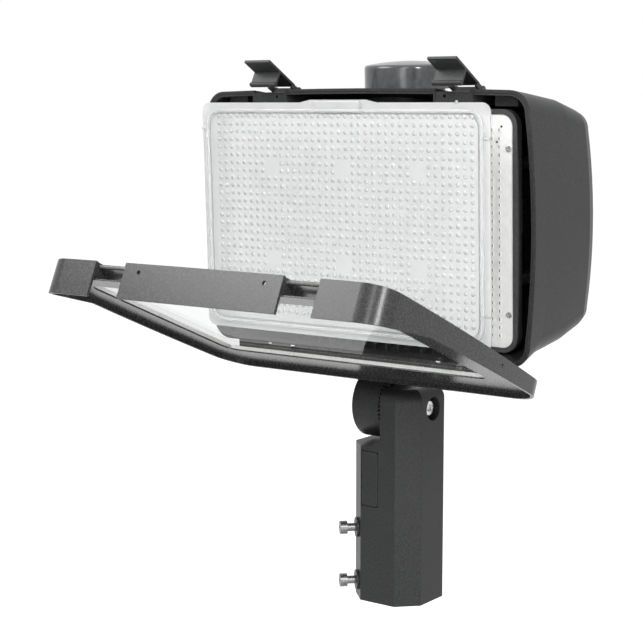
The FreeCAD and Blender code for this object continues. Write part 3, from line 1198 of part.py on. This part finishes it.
cap_half = Part.Wire([
    Part.makeLine(Vector(0, cell_y, cap_low), Vector(cap_r, cell_y, cap_low)),
    Part.makeLine(Vector(cap_r, cell_y, cap_low), Vector(cap_r, cell_y, brow)),
    Part.Arc(Vector(cap_r, cell_y, brow), on_shoulder((math.pi / 2 + meet) / 2), on_shoulder(meet)).toShape(),
    Part.Arc(on_shoulder(meet), on_crown(meet / 2), Vector(0, cell_y, summit)).toShape(),
    Part.makeLine(Vector(0, cell_y, summit), Vector(0, cell_y, cap_low)),
])
coded("photocell_cap", Part.Face(cap_half).revolve(Vector(0, cell_y, 0), UPWARD, 360), HEAD)
prongs = []
for k, turned in enumerate((0, 120, 240)):
    prong = doc.addObject("Part::Box", "prong_%d" % k)
    prong.Placement = Placement(Vector(), Rotation(Vector(0, 0, 1), turned))
    prong.setExpression("Length", bound("prong_thickness"))
    prong.setExpression("Width", bound("prong_width"))
    prong.setExpression("Height", bound("prong_length"))
    put(prong, ("prong_circle * cos(%d deg)" % turned, "cell_at + prong_circle * sin(%d deg)" % turned,
                cell_low + " - prong_length"))
    prongs.append(prong)
node(group("photocell_prongs", prongs), HEAD)

# Every piece must be sound before it is written.
doc.recompute()
for item in doc.Objects:
    if "Invalid" in item.State or "Error" in item.State:
        raise RuntimeError(item.Name + " did not compute")
for piece in nodes:
    if piece.Shape.isNull() or not piece.Shape.isValid() or not piece.Shape.Solids:
        raise RuntimeError(piece.Label + " is not a sound solid")
for piece in nodes:
    piece.Shape.exportStep("parts/" + piece.Label + ".step")
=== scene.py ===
import json
import math

import bpy
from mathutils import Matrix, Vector


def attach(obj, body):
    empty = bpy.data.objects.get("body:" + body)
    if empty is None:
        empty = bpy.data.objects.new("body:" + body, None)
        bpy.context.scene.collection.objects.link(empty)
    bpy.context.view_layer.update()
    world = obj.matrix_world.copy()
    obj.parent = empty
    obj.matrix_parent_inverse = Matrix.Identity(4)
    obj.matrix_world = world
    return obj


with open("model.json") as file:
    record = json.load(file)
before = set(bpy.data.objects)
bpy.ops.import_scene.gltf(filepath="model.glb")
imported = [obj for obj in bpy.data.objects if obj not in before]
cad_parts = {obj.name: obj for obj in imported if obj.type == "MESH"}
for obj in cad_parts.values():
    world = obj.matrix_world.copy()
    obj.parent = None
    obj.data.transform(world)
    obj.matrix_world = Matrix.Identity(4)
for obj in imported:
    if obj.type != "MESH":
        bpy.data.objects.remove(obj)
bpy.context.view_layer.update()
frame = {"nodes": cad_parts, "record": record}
nodes = frame["nodes"]

# Places and sizes in metres, in the head's own upright frame unless said otherwise
PIVOT_HEIGHT = 0.194
HEAD_TILT = math.radians(2.1)
BOARD_FRONT = -0.056
LENS_SHEET_FRONT = -0.0965
LENS_FIELD_FRONT = -0.0979
LENS_HALF_WIDTH = 0.1615
LENS_LOW = 0.083
LENS_HIGH = 0.300
LENS_RIDGE_CORNER = 0.014
LED_COLUMNS = 39
LED_ROWS = 26
LED_PITCH_ACROSS = 0.00748
LED_PITCH_UP = 0.00735
LED_FIRST = -0.1374
LED_LOWEST = 0.0906
DOME_FIRST = -0.1398
DOME_LOWEST = 0.1039
DOME_RADIUS = 0.0023
DOME_HEIGHT = 0.0011
CLEAR_COLUMNS = (8.5, 19.5, 30.5)
CLEAR_ROWS = (6.5, 18.5)
EYELET_UPPER = (0.1492, 0.2775)
EYELET_LOWER = (0.1445, 0.2639)
EYELET_RADIUS = 0.001
EYELET_THICK = 0.0006
EYELET_SUNK = 0.0002
CHIP_SIZE = (0.0028, 0.0007, 0.0035)
CHIP_SUNK = 0.00034
# The next three shape the narrow sunk dark grey stripe on each chip's front: painted shade
CHIP_SHADE_STRIPE_BORDER = 0.0004
CHIP_SHADE_STRIPE_NARROWING = 0.55
CHIP_SHADE_STRIPE_DEPTH = 0.00018
DOME_SUNK = 0.0001
BEAD_INSET = 0.006
BEAD_WIDTH = 0.003
BEAD_RISE = 0.0034
RELIEF_SUNK = 0.00005
# Each block: across, up, width, rise, height
LENS_BLOCKS = (
    (0.0005, 0.2962, 0.050, 0.0026, 0.0105),
    (0.1572, 0.2690, 0.0095, 0.0016, 0.0022),
    (0.1572, 0.1150, 0.0095, 0.0016, 0.0022),
    (-0.1588, 0.2755, 0.0065, 0.0016, 0.0022),
    (-0.1588, 0.1215, 0.0065, 0.0016, 0.0022),
    (0.1285, 0.3003, 0.0022, 0.0016, 0.0030),
)

# The room, in the frame's own axes. Each lamp: name, place, aim, width and height, watts
AMBIENT = 0.2
FLOOR_HEIGHT = -0.32
FLOOR_GREY = 0.5
FLOOR_LIFT = 0.95
LAMPS = (
    ("key", (-1.1, -1.3, 1.7), (0, -0.05, 0.3), (1.1, 1.0), 38),
    ("front", (0.95, -1.8, 1.5), (0.1, -0.1, 0.3), (0.4, 0.8), 9),
    ("fill", (0.7, -1.9, 0.62), (0, 0, 0.4), (0.5, 0.3), 6),
    ("strip", (1.46, -0.84, 0.98), (0.178, -0.293, 0.34), (0.15, 0.7), 21),
    ("low", (1.5, -0.9, -0.15), (0.05, 0, 0.05), (0.6, 0.4), 5),
    ("top", (0.1, 0.5, 2.2), (0, -0.1, 0.4), (1.6, 1.2), 7),
)
CAMERA_PLACE = (0.865218, -1.300231, 0.488595)
CAMERA_DOWN = math.radians(7.679)
CAMERA_ROUND = math.radians(36.499)
CAMERA_LENS = 89.545
SENSOR_WIDTH = 36


# Selection and edit mode
def let_go():
    if bpy.context.object and bpy.context.object.mode != "OBJECT":
        bpy.ops.object.mode_set(mode="OBJECT")
    bpy.ops.object.select_all(action="DESELECT")


def pick(piece):
    let_go()
    bpy.context.view_layer.objects.active = piece
    piece.select_set(True)


def named(name):
    piece = bpy.context.object
    piece.name = name
    piece.data.name = name
    return piece


def open_edit(kind):
    bpy.ops.object.mode_set(mode="EDIT")
    bpy.ops.mesh.select_mode(type=kind)
    bpy.ops.mesh.select_all(action="DESELECT")


def select_faces(piece, test):
    bpy.ops.object.mode_set(mode="OBJECT")
    for face in piece.data.polygons:
        face.select = test(face)
    bpy.ops.object.mode_set(mode="EDIT")


def select_edges(piece, test):
    bpy.ops.object.mode_set(mode="OBJECT")
    for edge in piece.data.edges:
        a, b = (piece.data.vertices[k].co for k in edge.vertices)
        edge.select = test(a, b)
    bpy.ops.object.mode_set(mode="EDIT")


def select_points(piece, test):
    bpy.ops.object.mode_set(mode="OBJECT")
    for point in piece.data.vertices:
        point.select = test(point.co)
    bpy.ops.object.mode_set(mode="EDIT")


def settle(piece):
    pick(piece)
    bpy.ops.object.transform_apply(location=True, rotation=True, scale=True)


def repeat(piece, count, step, name):
    array = piece.modifiers.new(name, "ARRAY")
    array.count = count
    array.use_relative_offset = False
    array.use_constant_offset = True
    array.constant_offset_displace = step
    pick(piece)
    bpy.ops.object.modifier_apply(modifier=array.name)


def soften(piece, width, segments, angle=40):
    bevel = piece.modifiers.new("soft_edges", "BEVEL")
    bevel.width = width
    bevel.segments = segments
    bevel.limit_method = "ANGLE"
    bevel.angle_limit = math.radians(angle)
    pick(piece)
    bpy.ops.object.modifier_apply(modifier=bevel.name)


def tilt_with_head(piece):
    piece.rotation_euler = (HEAD_TILT, 0, 0)
    piece.location = (0, 0, PIVOT_HEIGHT)
    settle(piece)


# Finishes
def start_finish(name):
    finish = bpy.data.materials.new(name)
    finish.use_nodes = True
    tree = finish.node_tree
    tree.nodes.clear()
    out = tree.nodes.new("ShaderNodeOutputMaterial")
    shader = tree.nodes.new("ShaderNodeBsdfPrincipled")
    tree.links.new(shader.outputs["BSDF"], out.inputs["Surface"])
    place = tree.nodes.new("ShaderNodeTexCoord").outputs["Object"]
    return finish, tree, shader, place


def speckle(tree, place, scale, detail=3.0, stretch=None):
    if stretch:
        mapping = tree.nodes.new("ShaderNodeMapping")
        mapping.inputs["Scale"].default_value = stretch
        tree.links.new(place, mapping.inputs["Vector"])
        place = mapping.outputs["Vector"]
    noise = tree.nodes.new("ShaderNodeTexNoise")
    noise.inputs["Scale"].default_value = scale
    noise.inputs["Detail"].default_value = detail
    noise.inputs["Roughness"].default_value = 0.6
    tree.links.new(place, noise.inputs["Vector"])
    return noise.outputs["Fac"]


def two_tone(tree, shader, pattern, dark, light, low=0.35, high=0.65):
    ramp = tree.nodes.new("ShaderNodeValToRGB")
    ramp.color_ramp.elements[0].position = low
    ramp.color_ramp.elements[0].color = (*dark, 1)
    ramp.color_ramp.elements[1].position = high
    ramp.color_ramp.elements[1].color = (*light, 1)
    tree.links.new(pattern, ramp.inputs["Fac"])
    tree.links.new(ramp.outputs["Color"], shader.inputs["Base Color"])


def uneven_gloss(tree, shader, pattern, low, high):
    spread = tree.nodes.new("ShaderNodeMapRange")
    spread.inputs["From Min"].default_value = 0.3
    spread.inputs["From Max"].default_value = 0.7
    spread.inputs["To Min"].default_value = low
    spread.inputs["To Max"].default_value = high
    tree.links.new(pattern, spread.inputs["Value"])
    tree.links.new(spread.outputs["Result"], shader.inputs["Roughness"])


def relief(tree, shader, pattern, strength, depth, rounding=None):
    bump = tree.nodes.new("ShaderNodeBump")
    bump.inputs["Strength"].default_value = strength
    bump.inputs["Distance"].default_value = depth
    tree.links.new(pattern, bump.inputs["Height"])
    if rounding:
        rounded = tree.nodes.new("ShaderNodeBevel")
        rounded.samples = 4
        rounded.inputs["Radius"].default_value = rounding
        tree.links.new(rounded.outputs["Normal"], bump.inputs["Normal"])
    tree.links.new(bump.outputs["Normal"], shader.inputs["Normal"])


def powder_coat(name, dark, light, low, high, shine=0.2):
    finish, tree, shader, place = start_finish(name)
    shader.inputs["Specular IOR Level"].default_value = shine
    grain = speckle(tree, place, 640, 4)
    orange_peel = speckle(tree, place, 700, 2)
    two_tone(tree, shader, grain, dark, light, 0.4, 0.6)
    uneven_gloss(tree, shader, grain, low, high)
    relief(tree, shader, orange_peel, 0.28, 0.0002, 0.0008)
    return finish


def moulding(name, dark, light, low, high, scale=380, rounding=0.0005):
    finish, tree, shader, place = start_finish(name)
    cloud = speckle(tree, place, scale, 3)
    two_tone(tree, shader, cloud, dark, light)
    uneven_gloss(tree, shader, cloud, low, high)
    relief(tree, shader, cloud, 0.12, 0.00006, rounding)
    return finish


def plated(name, dark, light, low, high, stretch=(1, 1, 1), scale=900):
    finish, tree, shader, place = start_finish(name)
    shader.inputs["Metallic"].default_value = 1.0
    streaks = speckle(tree, place, scale, 3, stretch)
    two_tone(tree, shader, streaks, dark, light)
    uneven_gloss(tree, shader, streaks, low, high)
    relief(tree, shader, streaks, 0.15, 0.00005, 0.0004)
    return finish


# Thread bands along the rod: light crests are painted highlight, near black roots are painted shade,
# over a matching bump
def threaded_zinc_painted_glints_and_shade(name):
    finish, tree, shader, place = start_finish(name)
    shader.inputs["Metallic"].default_value = 1.0
    thread = tree.nodes.new("ShaderNodeTexWave")
    thread.bands_direction = "X"
    thread.inputs["Scale"].default_value = 250
    thread.inputs["Distortion"].default_value = 0.2
    tree.links.new(place, thread.inputs["Vector"])
    two_tone(tree, shader, thread.outputs["Fac"], (0.03, 0.03, 0.03), (0.3, 0.3, 0.29), 0.1, 0.9)
    uneven_gloss(tree, shader, thread.outputs["Fac"], 0.3, 0.45)
    relief(tree, shader, thread.outputs["Fac"], 0.6, 0.0003)
    return finish


def clear_moulding(name, tint, through, low, high, bending=1.49, scale=60):
    finish, tree, shader, place = start_finish(name)
    cloud = speckle(tree, place, scale, 2)
    shade = tuple(0.98 * part for part in tint)
    two_tone(tree, shader, cloud, shade, tint)
    uneven_gloss(tree, shader, cloud, low, high)
    shader.inputs["Transmission Weight"].default_value = through
    shader.inputs["IOR"].default_value = bending
    return finish


FINISHES = {
    "body_paint": powder_coat("charcoal_powder_coat", (0.026, 0.0265, 0.027), (0.042, 0.0426, 0.0432),
                              0.34, 0.42, 0.14),
    "latch_paint": powder_coat("latch_powder_coat", (0.03, 0.0305, 0.031), (0.046, 0.047, 0.048),
                               0.36, 0.46),
    # Zinc plating on the steel hardware kept dark: painted shade
    "bright_steel": plated("zinc_painted_shade", (0.08, 0.08, 0.08), (0.2, 0.2, 0.196), 0.26, 0.42),
    "silicone_seal": moulding("pale_silicone", (0.62, 0.62, 0.6), (0.7, 0.7, 0.68), 0.4, 0.55),
    "gasket_rubber": moulding("seal_rubber", (0.012, 0.012, 0.012), (0.022, 0.022, 0.022), 0.7, 0.85),
    "dark_tray": powder_coat("tray_paint", (0.045, 0.045, 0.047), (0.065, 0.065, 0.068), 0.42, 0.55),
    "white_board": moulding("white_solder_mask", (0.7, 0.7, 0.69), (0.76, 0.76, 0.75), 0.35, 0.5, 140),
    "bare_aluminium": plated("turned_aluminium", (0.5, 0.5, 0.51), (0.68, 0.68, 0.69), 0.3, 0.45),
    "driver_case": plated("driver_aluminium", (0.55, 0.55, 0.55), (0.72, 0.72, 0.72), 0.35, 0.5,
                          (1, 12, 12), 160),
    "cream_plastic": moulding("cream_moulding", (0.6, 0.56, 0.45), (0.68, 0.64, 0.53), 0.4, 0.55),
    "black_plastic": moulding("black_moulding", (0.015, 0.015, 0.015), (0.028, 0.028, 0.028), 0.35, 0.5),
    "cell_plastic": moulding("cell_gloss_moulding", (0.05, 0.052, 0.055), (0.07, 0.072, 0.075),
                             0.14, 0.22, 120),
    "contact_brass": plated("contact_brass", (0.62, 0.45, 0.18), (0.78, 0.6, 0.28), 0.2, 0.35),
    "clear_lens": clear_moulding("milky_acrylic", (0.82, 0.825, 0.825), 0.5, 0.3, 0.36),
    "clear_glass": clear_moulding("toughened_glass", (0.86, 0.87, 0.868), 1.0, 0.0, 0.02, 1.04),
}
THREAD_GLINTS_AND_SHADE = threaded_zinc_painted_glints_and_shade("threaded_zinc_painted_glints_and_shade")
DOOR_PAINT = powder_coat("door_powder_coat", (0.02, 0.0205, 0.021), (0.043, 0.0437, 0.0444),
                         0.2, 0.32, 0.3)
# Darker copy of the housing's powder coat: painted shade on the slipfitter and knuckle arm under the
# door
FITTER_PAINT_SHADE = powder_coat("fitter_paint_shade", (0.022, 0.0224, 0.0228), (0.037, 0.0376, 0.0382),
                           0.34, 0.42, 0.14)
# Brighter copy of the same zinc plating: painted light for the bolt in its dark recess and the board
# screws
BOLT_ZINC_PAINTED_LIGHT = plated("bolt_zinc_painted_light", (0.55, 0.55, 0.55), (0.85, 0.85, 0.84), 0.2, 0.34)
DOME_ACRYLIC = clear_moulding("dome_acrylic", (0.8, 0.805, 0.805), 0.6, 0.2, 0.26)
RIDGE_ACRYLIC = clear_moulding("ridge_acrylic", (0.86, 0.865, 0.865), 0.6, 0.1, 0.16)
EYELET_DARK = moulding("eyelet_dark", (0.03, 0.03, 0.03), (0.05, 0.05, 0.05), 0.3, 0.45, 1500, None)
CHIP_PACKAGE = moulding("chip_package", (0.74, 0.74, 0.72), (0.82, 0.82, 0.8), 0.3, 0.45, 900, None)
# Dark grey of the stripe on each chip's front: painted shade along the package's side
CHIP_PAINTED_SHADE = moulding("chip_painted_shade", (0.13, 0.125, 0.105), (0.18, 0.17, 0.145),
                         0.3, 0.5, 1500, None)


def give_finish(piece, *finishes):
    piece.data.materials.clear()
    for finish in finishes:
        piece.data.materials.append(finish)


def dress_solids():
    for row in frame["record"]["subparts"]:
        give_finish(nodes[row["node"]], FINISHES[row["material_slot"]])
    # The catch rods take the thread bands with painted highlight and painted shade
    give_finish(nodes["catch_rods"], THREAD_GLINTS_AND_SHADE)
    # The pivot bolt and board screws take the brighter zinc copy: painted light
    for name in ("pivot_bolt", "board_screws"):
        give_finish(nodes[name], BOLT_ZINC_PAINTED_LIGHT)
    give_finish(nodes["door_frame"], DOOR_PAINT)
    # The slipfitter, its cover and the knuckle arm take the darker copy: painted shade
    for name in ("slipfitter_body", "slipfitter_cover", "knuckle_arm"):
        give_finish(nodes[name], FITTER_PAINT_SHADE)


# LED packages in rows on the board; the dark grey stripe on each front is painted shade
def led_chips():
    let_go()
    centre = (LED_FIRST, BOARD_FRONT - CHIP_SUNK, LED_LOWEST)
    bpy.ops.mesh.primitive_cube_add(size=1, location=centre, scale=CHIP_SIZE)
    chips = named("led_chips")
    settle(chips)
    give_finish(chips, CHIP_PACKAGE, CHIP_PAINTED_SHADE)
    open_edit("FACE")
    select_faces(chips, lambda face: face.normal.y < -0.9)
    bpy.ops.mesh.inset(thickness=CHIP_SHADE_STRIPE_BORDER, depth=0)
    bpy.ops.transform.resize(value=(CHIP_SHADE_STRIPE_NARROWING, 1, 1),
                             center_override=(LED_FIRST, BOARD_FRONT, LED_LOWEST))
    bpy.ops.transform.translate(value=(0, CHIP_SHADE_STRIPE_DEPTH, 0))
    # The narrowed, sunk front face takes the painted shade
    bpy.context.object.active_material_index = 1
    bpy.ops.object.material_slot_assign()
    bpy.ops.object.mode_set(mode="OBJECT")
    repeat(chips, LED_COLUMNS, (LED_PITCH_ACROSS, 0, 0), "across")
    repeat(chips, LED_ROWS, (0, 0, LED_PITCH_UP), "up")
    tilt_with_head(chips)
    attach(chips, "head")


# Small domes over the LEDs, moulded on the lens panel's front
def lens_domes():
    let_go()
    centre = (DOME_FIRST, LENS_FIELD_FRONT, DOME_LOWEST)
    bpy.ops.mesh.primitive_uv_sphere_add(segments=10, ring_count=6, radius=DOME_RADIUS,
                                         location=centre, rotation=(math.radians(90), 0, 0))
    domes = named("lens_domes")
    settle(domes)
    open_edit("VERT")
    bpy.ops.mesh.select_all(action="SELECT")
    bpy.ops.mesh.bisect(plane_co=(0, LENS_FIELD_FRONT + DOME_SUNK, 0), plane_no=(0, 1, 0),
                        clear_outer=True, use_fill=True)
    bpy.ops.mesh.select_all(action="SELECT")
    bpy.ops.transform.resize(value=(1, DOME_HEIGHT / DOME_RADIUS, 1), center_override=centre)
    bpy.ops.object.mode_set(mode="OBJECT")
    pick(domes)
    bpy.ops.object.shade_smooth_by_angle(angle=math.radians(50))
    repeat(domes, LED_COLUMNS, (LED_PITCH_ACROSS, 0, 0), "across")
    repeat(domes, LED_ROWS, (0, 0, LED_PITCH_UP), "up")
    open_edit("VERT")
    clear_x = [DOME_FIRST + column * LED_PITCH_ACROSS for column in CLEAR_COLUMNS]
    clear_z = [DOME_LOWEST + row * LED_PITCH_UP for row in CLEAR_ROWS]
    select_points(domes, lambda p: any(abs(p.x - x) < LED_PITCH_ACROSS for x in clear_x)
                  and any(abs(p.z - z) < LED_PITCH_UP for z in clear_z))
    bpy.ops.mesh.delete(type="VERT")
    bpy.ops.object.mode_set(mode="OBJECT")
    give_finish(domes, DOME_ACRYLIC)
    tilt_with_head(domes)
    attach(domes, "lens")


# Raised bead round the lens panel's border
def lens_bead():
    let_go()
    wide = 2 * (LENS_HALF_WIDTH - BEAD_INSET)
    tall = LENS_HIGH - LENS_LOW - 2 * BEAD_INSET
    centre = (0, LENS_SHEET_FRONT - 0.5 * BEAD_RISE + RELIEF_SUNK, 0.5 * (LENS_HIGH + LENS_LOW))
    bpy.ops.mesh.primitive_cube_add(size=1, location=centre, scale=(wide, BEAD_RISE, tall))
    bead = named("lens_bead")
    settle(bead)
    open_edit("EDGE")
    select_edges(bead, lambda a, b: abs(a.y - b.y) > 0.5 * BEAD_RISE)
    bpy.ops.mesh.bevel(offset=LENS_RIDGE_CORNER, segments=10, affect="EDGES")
    bpy.ops.mesh.select_mode(type="FACE")
    select_faces(bead, lambda face: abs(face.normal.y) > 0.9)
    bpy.ops.mesh.inset(thickness=BEAD_WIDTH)
    bpy.ops.mesh.bridge_edge_loops()
    bpy.ops.mesh.select_all(action="SELECT")
    bpy.ops.mesh.normals_make_consistent(inside=False)
    bpy.ops.object.mode_set(mode="OBJECT")
    soften(bead, 0.0009, 3, 60)
    pick(bead)
    bpy.ops.object.shade_smooth_by_angle(angle=math.radians(40))
    give_finish(bead, RIDGE_ACRYLIC)
    tilt_with_head(bead)
    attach(bead, "lens")


# Small blocks on the lens panel's border: the grip at the tab and the snap nubs at the sides
def lens_blocks():
    blocks = []
    for x, z, wide, rise, tall in LENS_BLOCKS:
        let_go()
        centre = (x, LENS_SHEET_FRONT - 0.5 * rise + RELIEF_SUNK, z)
        bpy.ops.mesh.primitive_cube_add(size=1, location=centre, scale=(wide, rise, tall))
        block = named("lens_blocks")
        settle(block)
        soften(block, 0.0005, 2)
        blocks.append(block)
    let_go()
    for block in blocks:
        block.select_set(True)
    bpy.context.view_layer.objects.active = blocks[0]
    bpy.ops.object.join()
    group = named("lens_blocks")
    give_finish(group, RIDGE_ACRYLIC)
    tilt_with_head(group)
    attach(group, "lens")


# Two dark eyelets near the board's upper corner
def board_eyelets():
    let_go()
    x, z = EYELET_UPPER
    bpy.ops.mesh.primitive_cylinder_add(vertices=24, radius=EYELET_RADIUS, depth=EYELET_THICK,
                                        location=(x, BOARD_FRONT - EYELET_SUNK, z),
                                        rotation=(math.radians(90), 0, 0))
    eyelets = named("board_eyelets")
    settle(eyelets)
    soften(eyelets, 0.0001, 2)
    step = (EYELET_LOWER[0] - x, 0, EYELET_LOWER[1] - z)
    repeat(eyelets, 2, step, "second")
    give_finish(eyelets, EYELET_DARK)
    tilt_with_head(eyelets)
    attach(eyelets, "head")


# Room: pale floor, soft lamps and the camera
def seen_directly(tree):
    path = tree.nodes.new("ShaderNodeLightPath")
    first = tree.nodes.new("ShaderNodeMath")
    first.operation = "MAXIMUM"
    tree.links.new(path.outputs["Is Camera Ray"], first.inputs[0])
    tree.links.new(path.outputs["Is Glossy Ray"], first.inputs[1])
    both = tree.nodes.new("ShaderNodeMath")
    both.operation = "MAXIMUM"
    tree.links.new(first.outputs["Value"], both.inputs[0])
    tree.links.new(path.outputs["Is Transmission Ray"], both.inputs[1])
    return both.outputs["Value"]


def white_room(ambient):
    world = bpy.data.worlds.new("studio")
    bpy.context.scene.world = world
    world.use_nodes = True
    tree = world.node_tree
    tree.nodes.clear()
    out = tree.nodes.new("ShaderNodeOutputWorld")
    mix = tree.nodes.new("ShaderNodeMixShader")
    glow = tree.nodes.new("ShaderNodeBackground")
    glow.inputs["Color"].default_value = (1, 1, 1, 1)
    glow.inputs["Strength"].default_value = ambient
    white = tree.nodes.new("ShaderNodeBackground")
    white.inputs["Color"].default_value = (1, 1, 1, 1)
    white.inputs["Strength"].default_value = 1.0
    tree.links.new(seen_directly(tree), mix.inputs["Fac"])
    tree.links.new(glow.outputs["Background"], mix.inputs[1])
    tree.links.new(white.outputs["Background"], mix.inputs[2])
    tree.links.new(mix.outputs["Shader"], out.inputs["Surface"])


def pale_floor(height):
    let_go()
    bpy.ops.mesh.primitive_plane_add(size=40, location=(0, 0, height))
    floor = named("floor")
    finish = bpy.data.materials.new("pale_floor")
    finish.use_nodes = True
    tree = finish.node_tree
    tree.nodes.clear()
    out = tree.nodes.new("ShaderNodeOutputMaterial")
    both = tree.nodes.new("ShaderNodeAddShader")
    matt = tree.nodes.new("ShaderNodeBsdfDiffuse")
    matt.inputs["Color"].default_value = (FLOOR_GREY, FLOOR_GREY, FLOOR_GREY, 1)
    lift = tree.nodes.new("ShaderNodeEmission")
    lift.inputs["Color"].default_value = (1, 1, 1, 1)
    level = tree.nodes.new("ShaderNodeMath")
    level.operation = "MULTIPLY"
    level.inputs[1].default_value = FLOOR_LIFT
    tree.links.new(seen_directly(tree), level.inputs[0])
    tree.links.new(level.outputs["Value"], lift.inputs["Strength"])
    tree.links.new(matt.outputs["BSDF"], both.inputs[0])
    tree.links.new(lift.outputs["Emission"], both.inputs[1])
    tree.links.new(both.outputs["Shader"], out.inputs["Surface"])
    floor.data.materials.append(finish)


def soft_lamp(name, place, aim, size, power):
    lamp = bpy.data.lights.new(name, "AREA")
    lamp.shape = "RECTANGLE"
    lamp.size, lamp.size_y = size
    lamp.energy = power
    holder = bpy.data.objects.new(name, lamp)
    bpy.context.scene.collection.objects.link(holder)
    holder.location = place
    holder.rotation_euler = (Vector(aim) - Vector(place)).to_track_quat("-Z", "Y").to_euler()


def camera_at_photo_angle():
    camera = bpy.data.cameras.new("camera")
    camera.sensor_fit = "HORIZONTAL"
    camera.sensor_width = SENSOR_WIDTH
    camera.lens = CAMERA_LENS
    camera.clip_start = 0.05
    camera.clip_end = 100
    holder = bpy.data.objects.new("camera", camera)
    bpy.context.scene.collection.objects.link(holder)
    holder.location = CAMERA_PLACE
    holder.rotation_euler = (math.radians(90) - CAMERA_DOWN, 0, CAMERA_ROUND)
    bpy.context.scene.camera = holder


bpy.context.scene.view_settings.view_transform = "Standard"
camera_at_photo_angle()
white_room(AMBIENT)
pale_floor(FLOOR_HEIGHT)
for name, place, aim, size, watts in LAMPS:
    soft_lamp(name, place, aim, size, watts)
dress_solids()
led_chips()
lens_domes()
lens_bead()
lens_blocks()
board_eyelets()
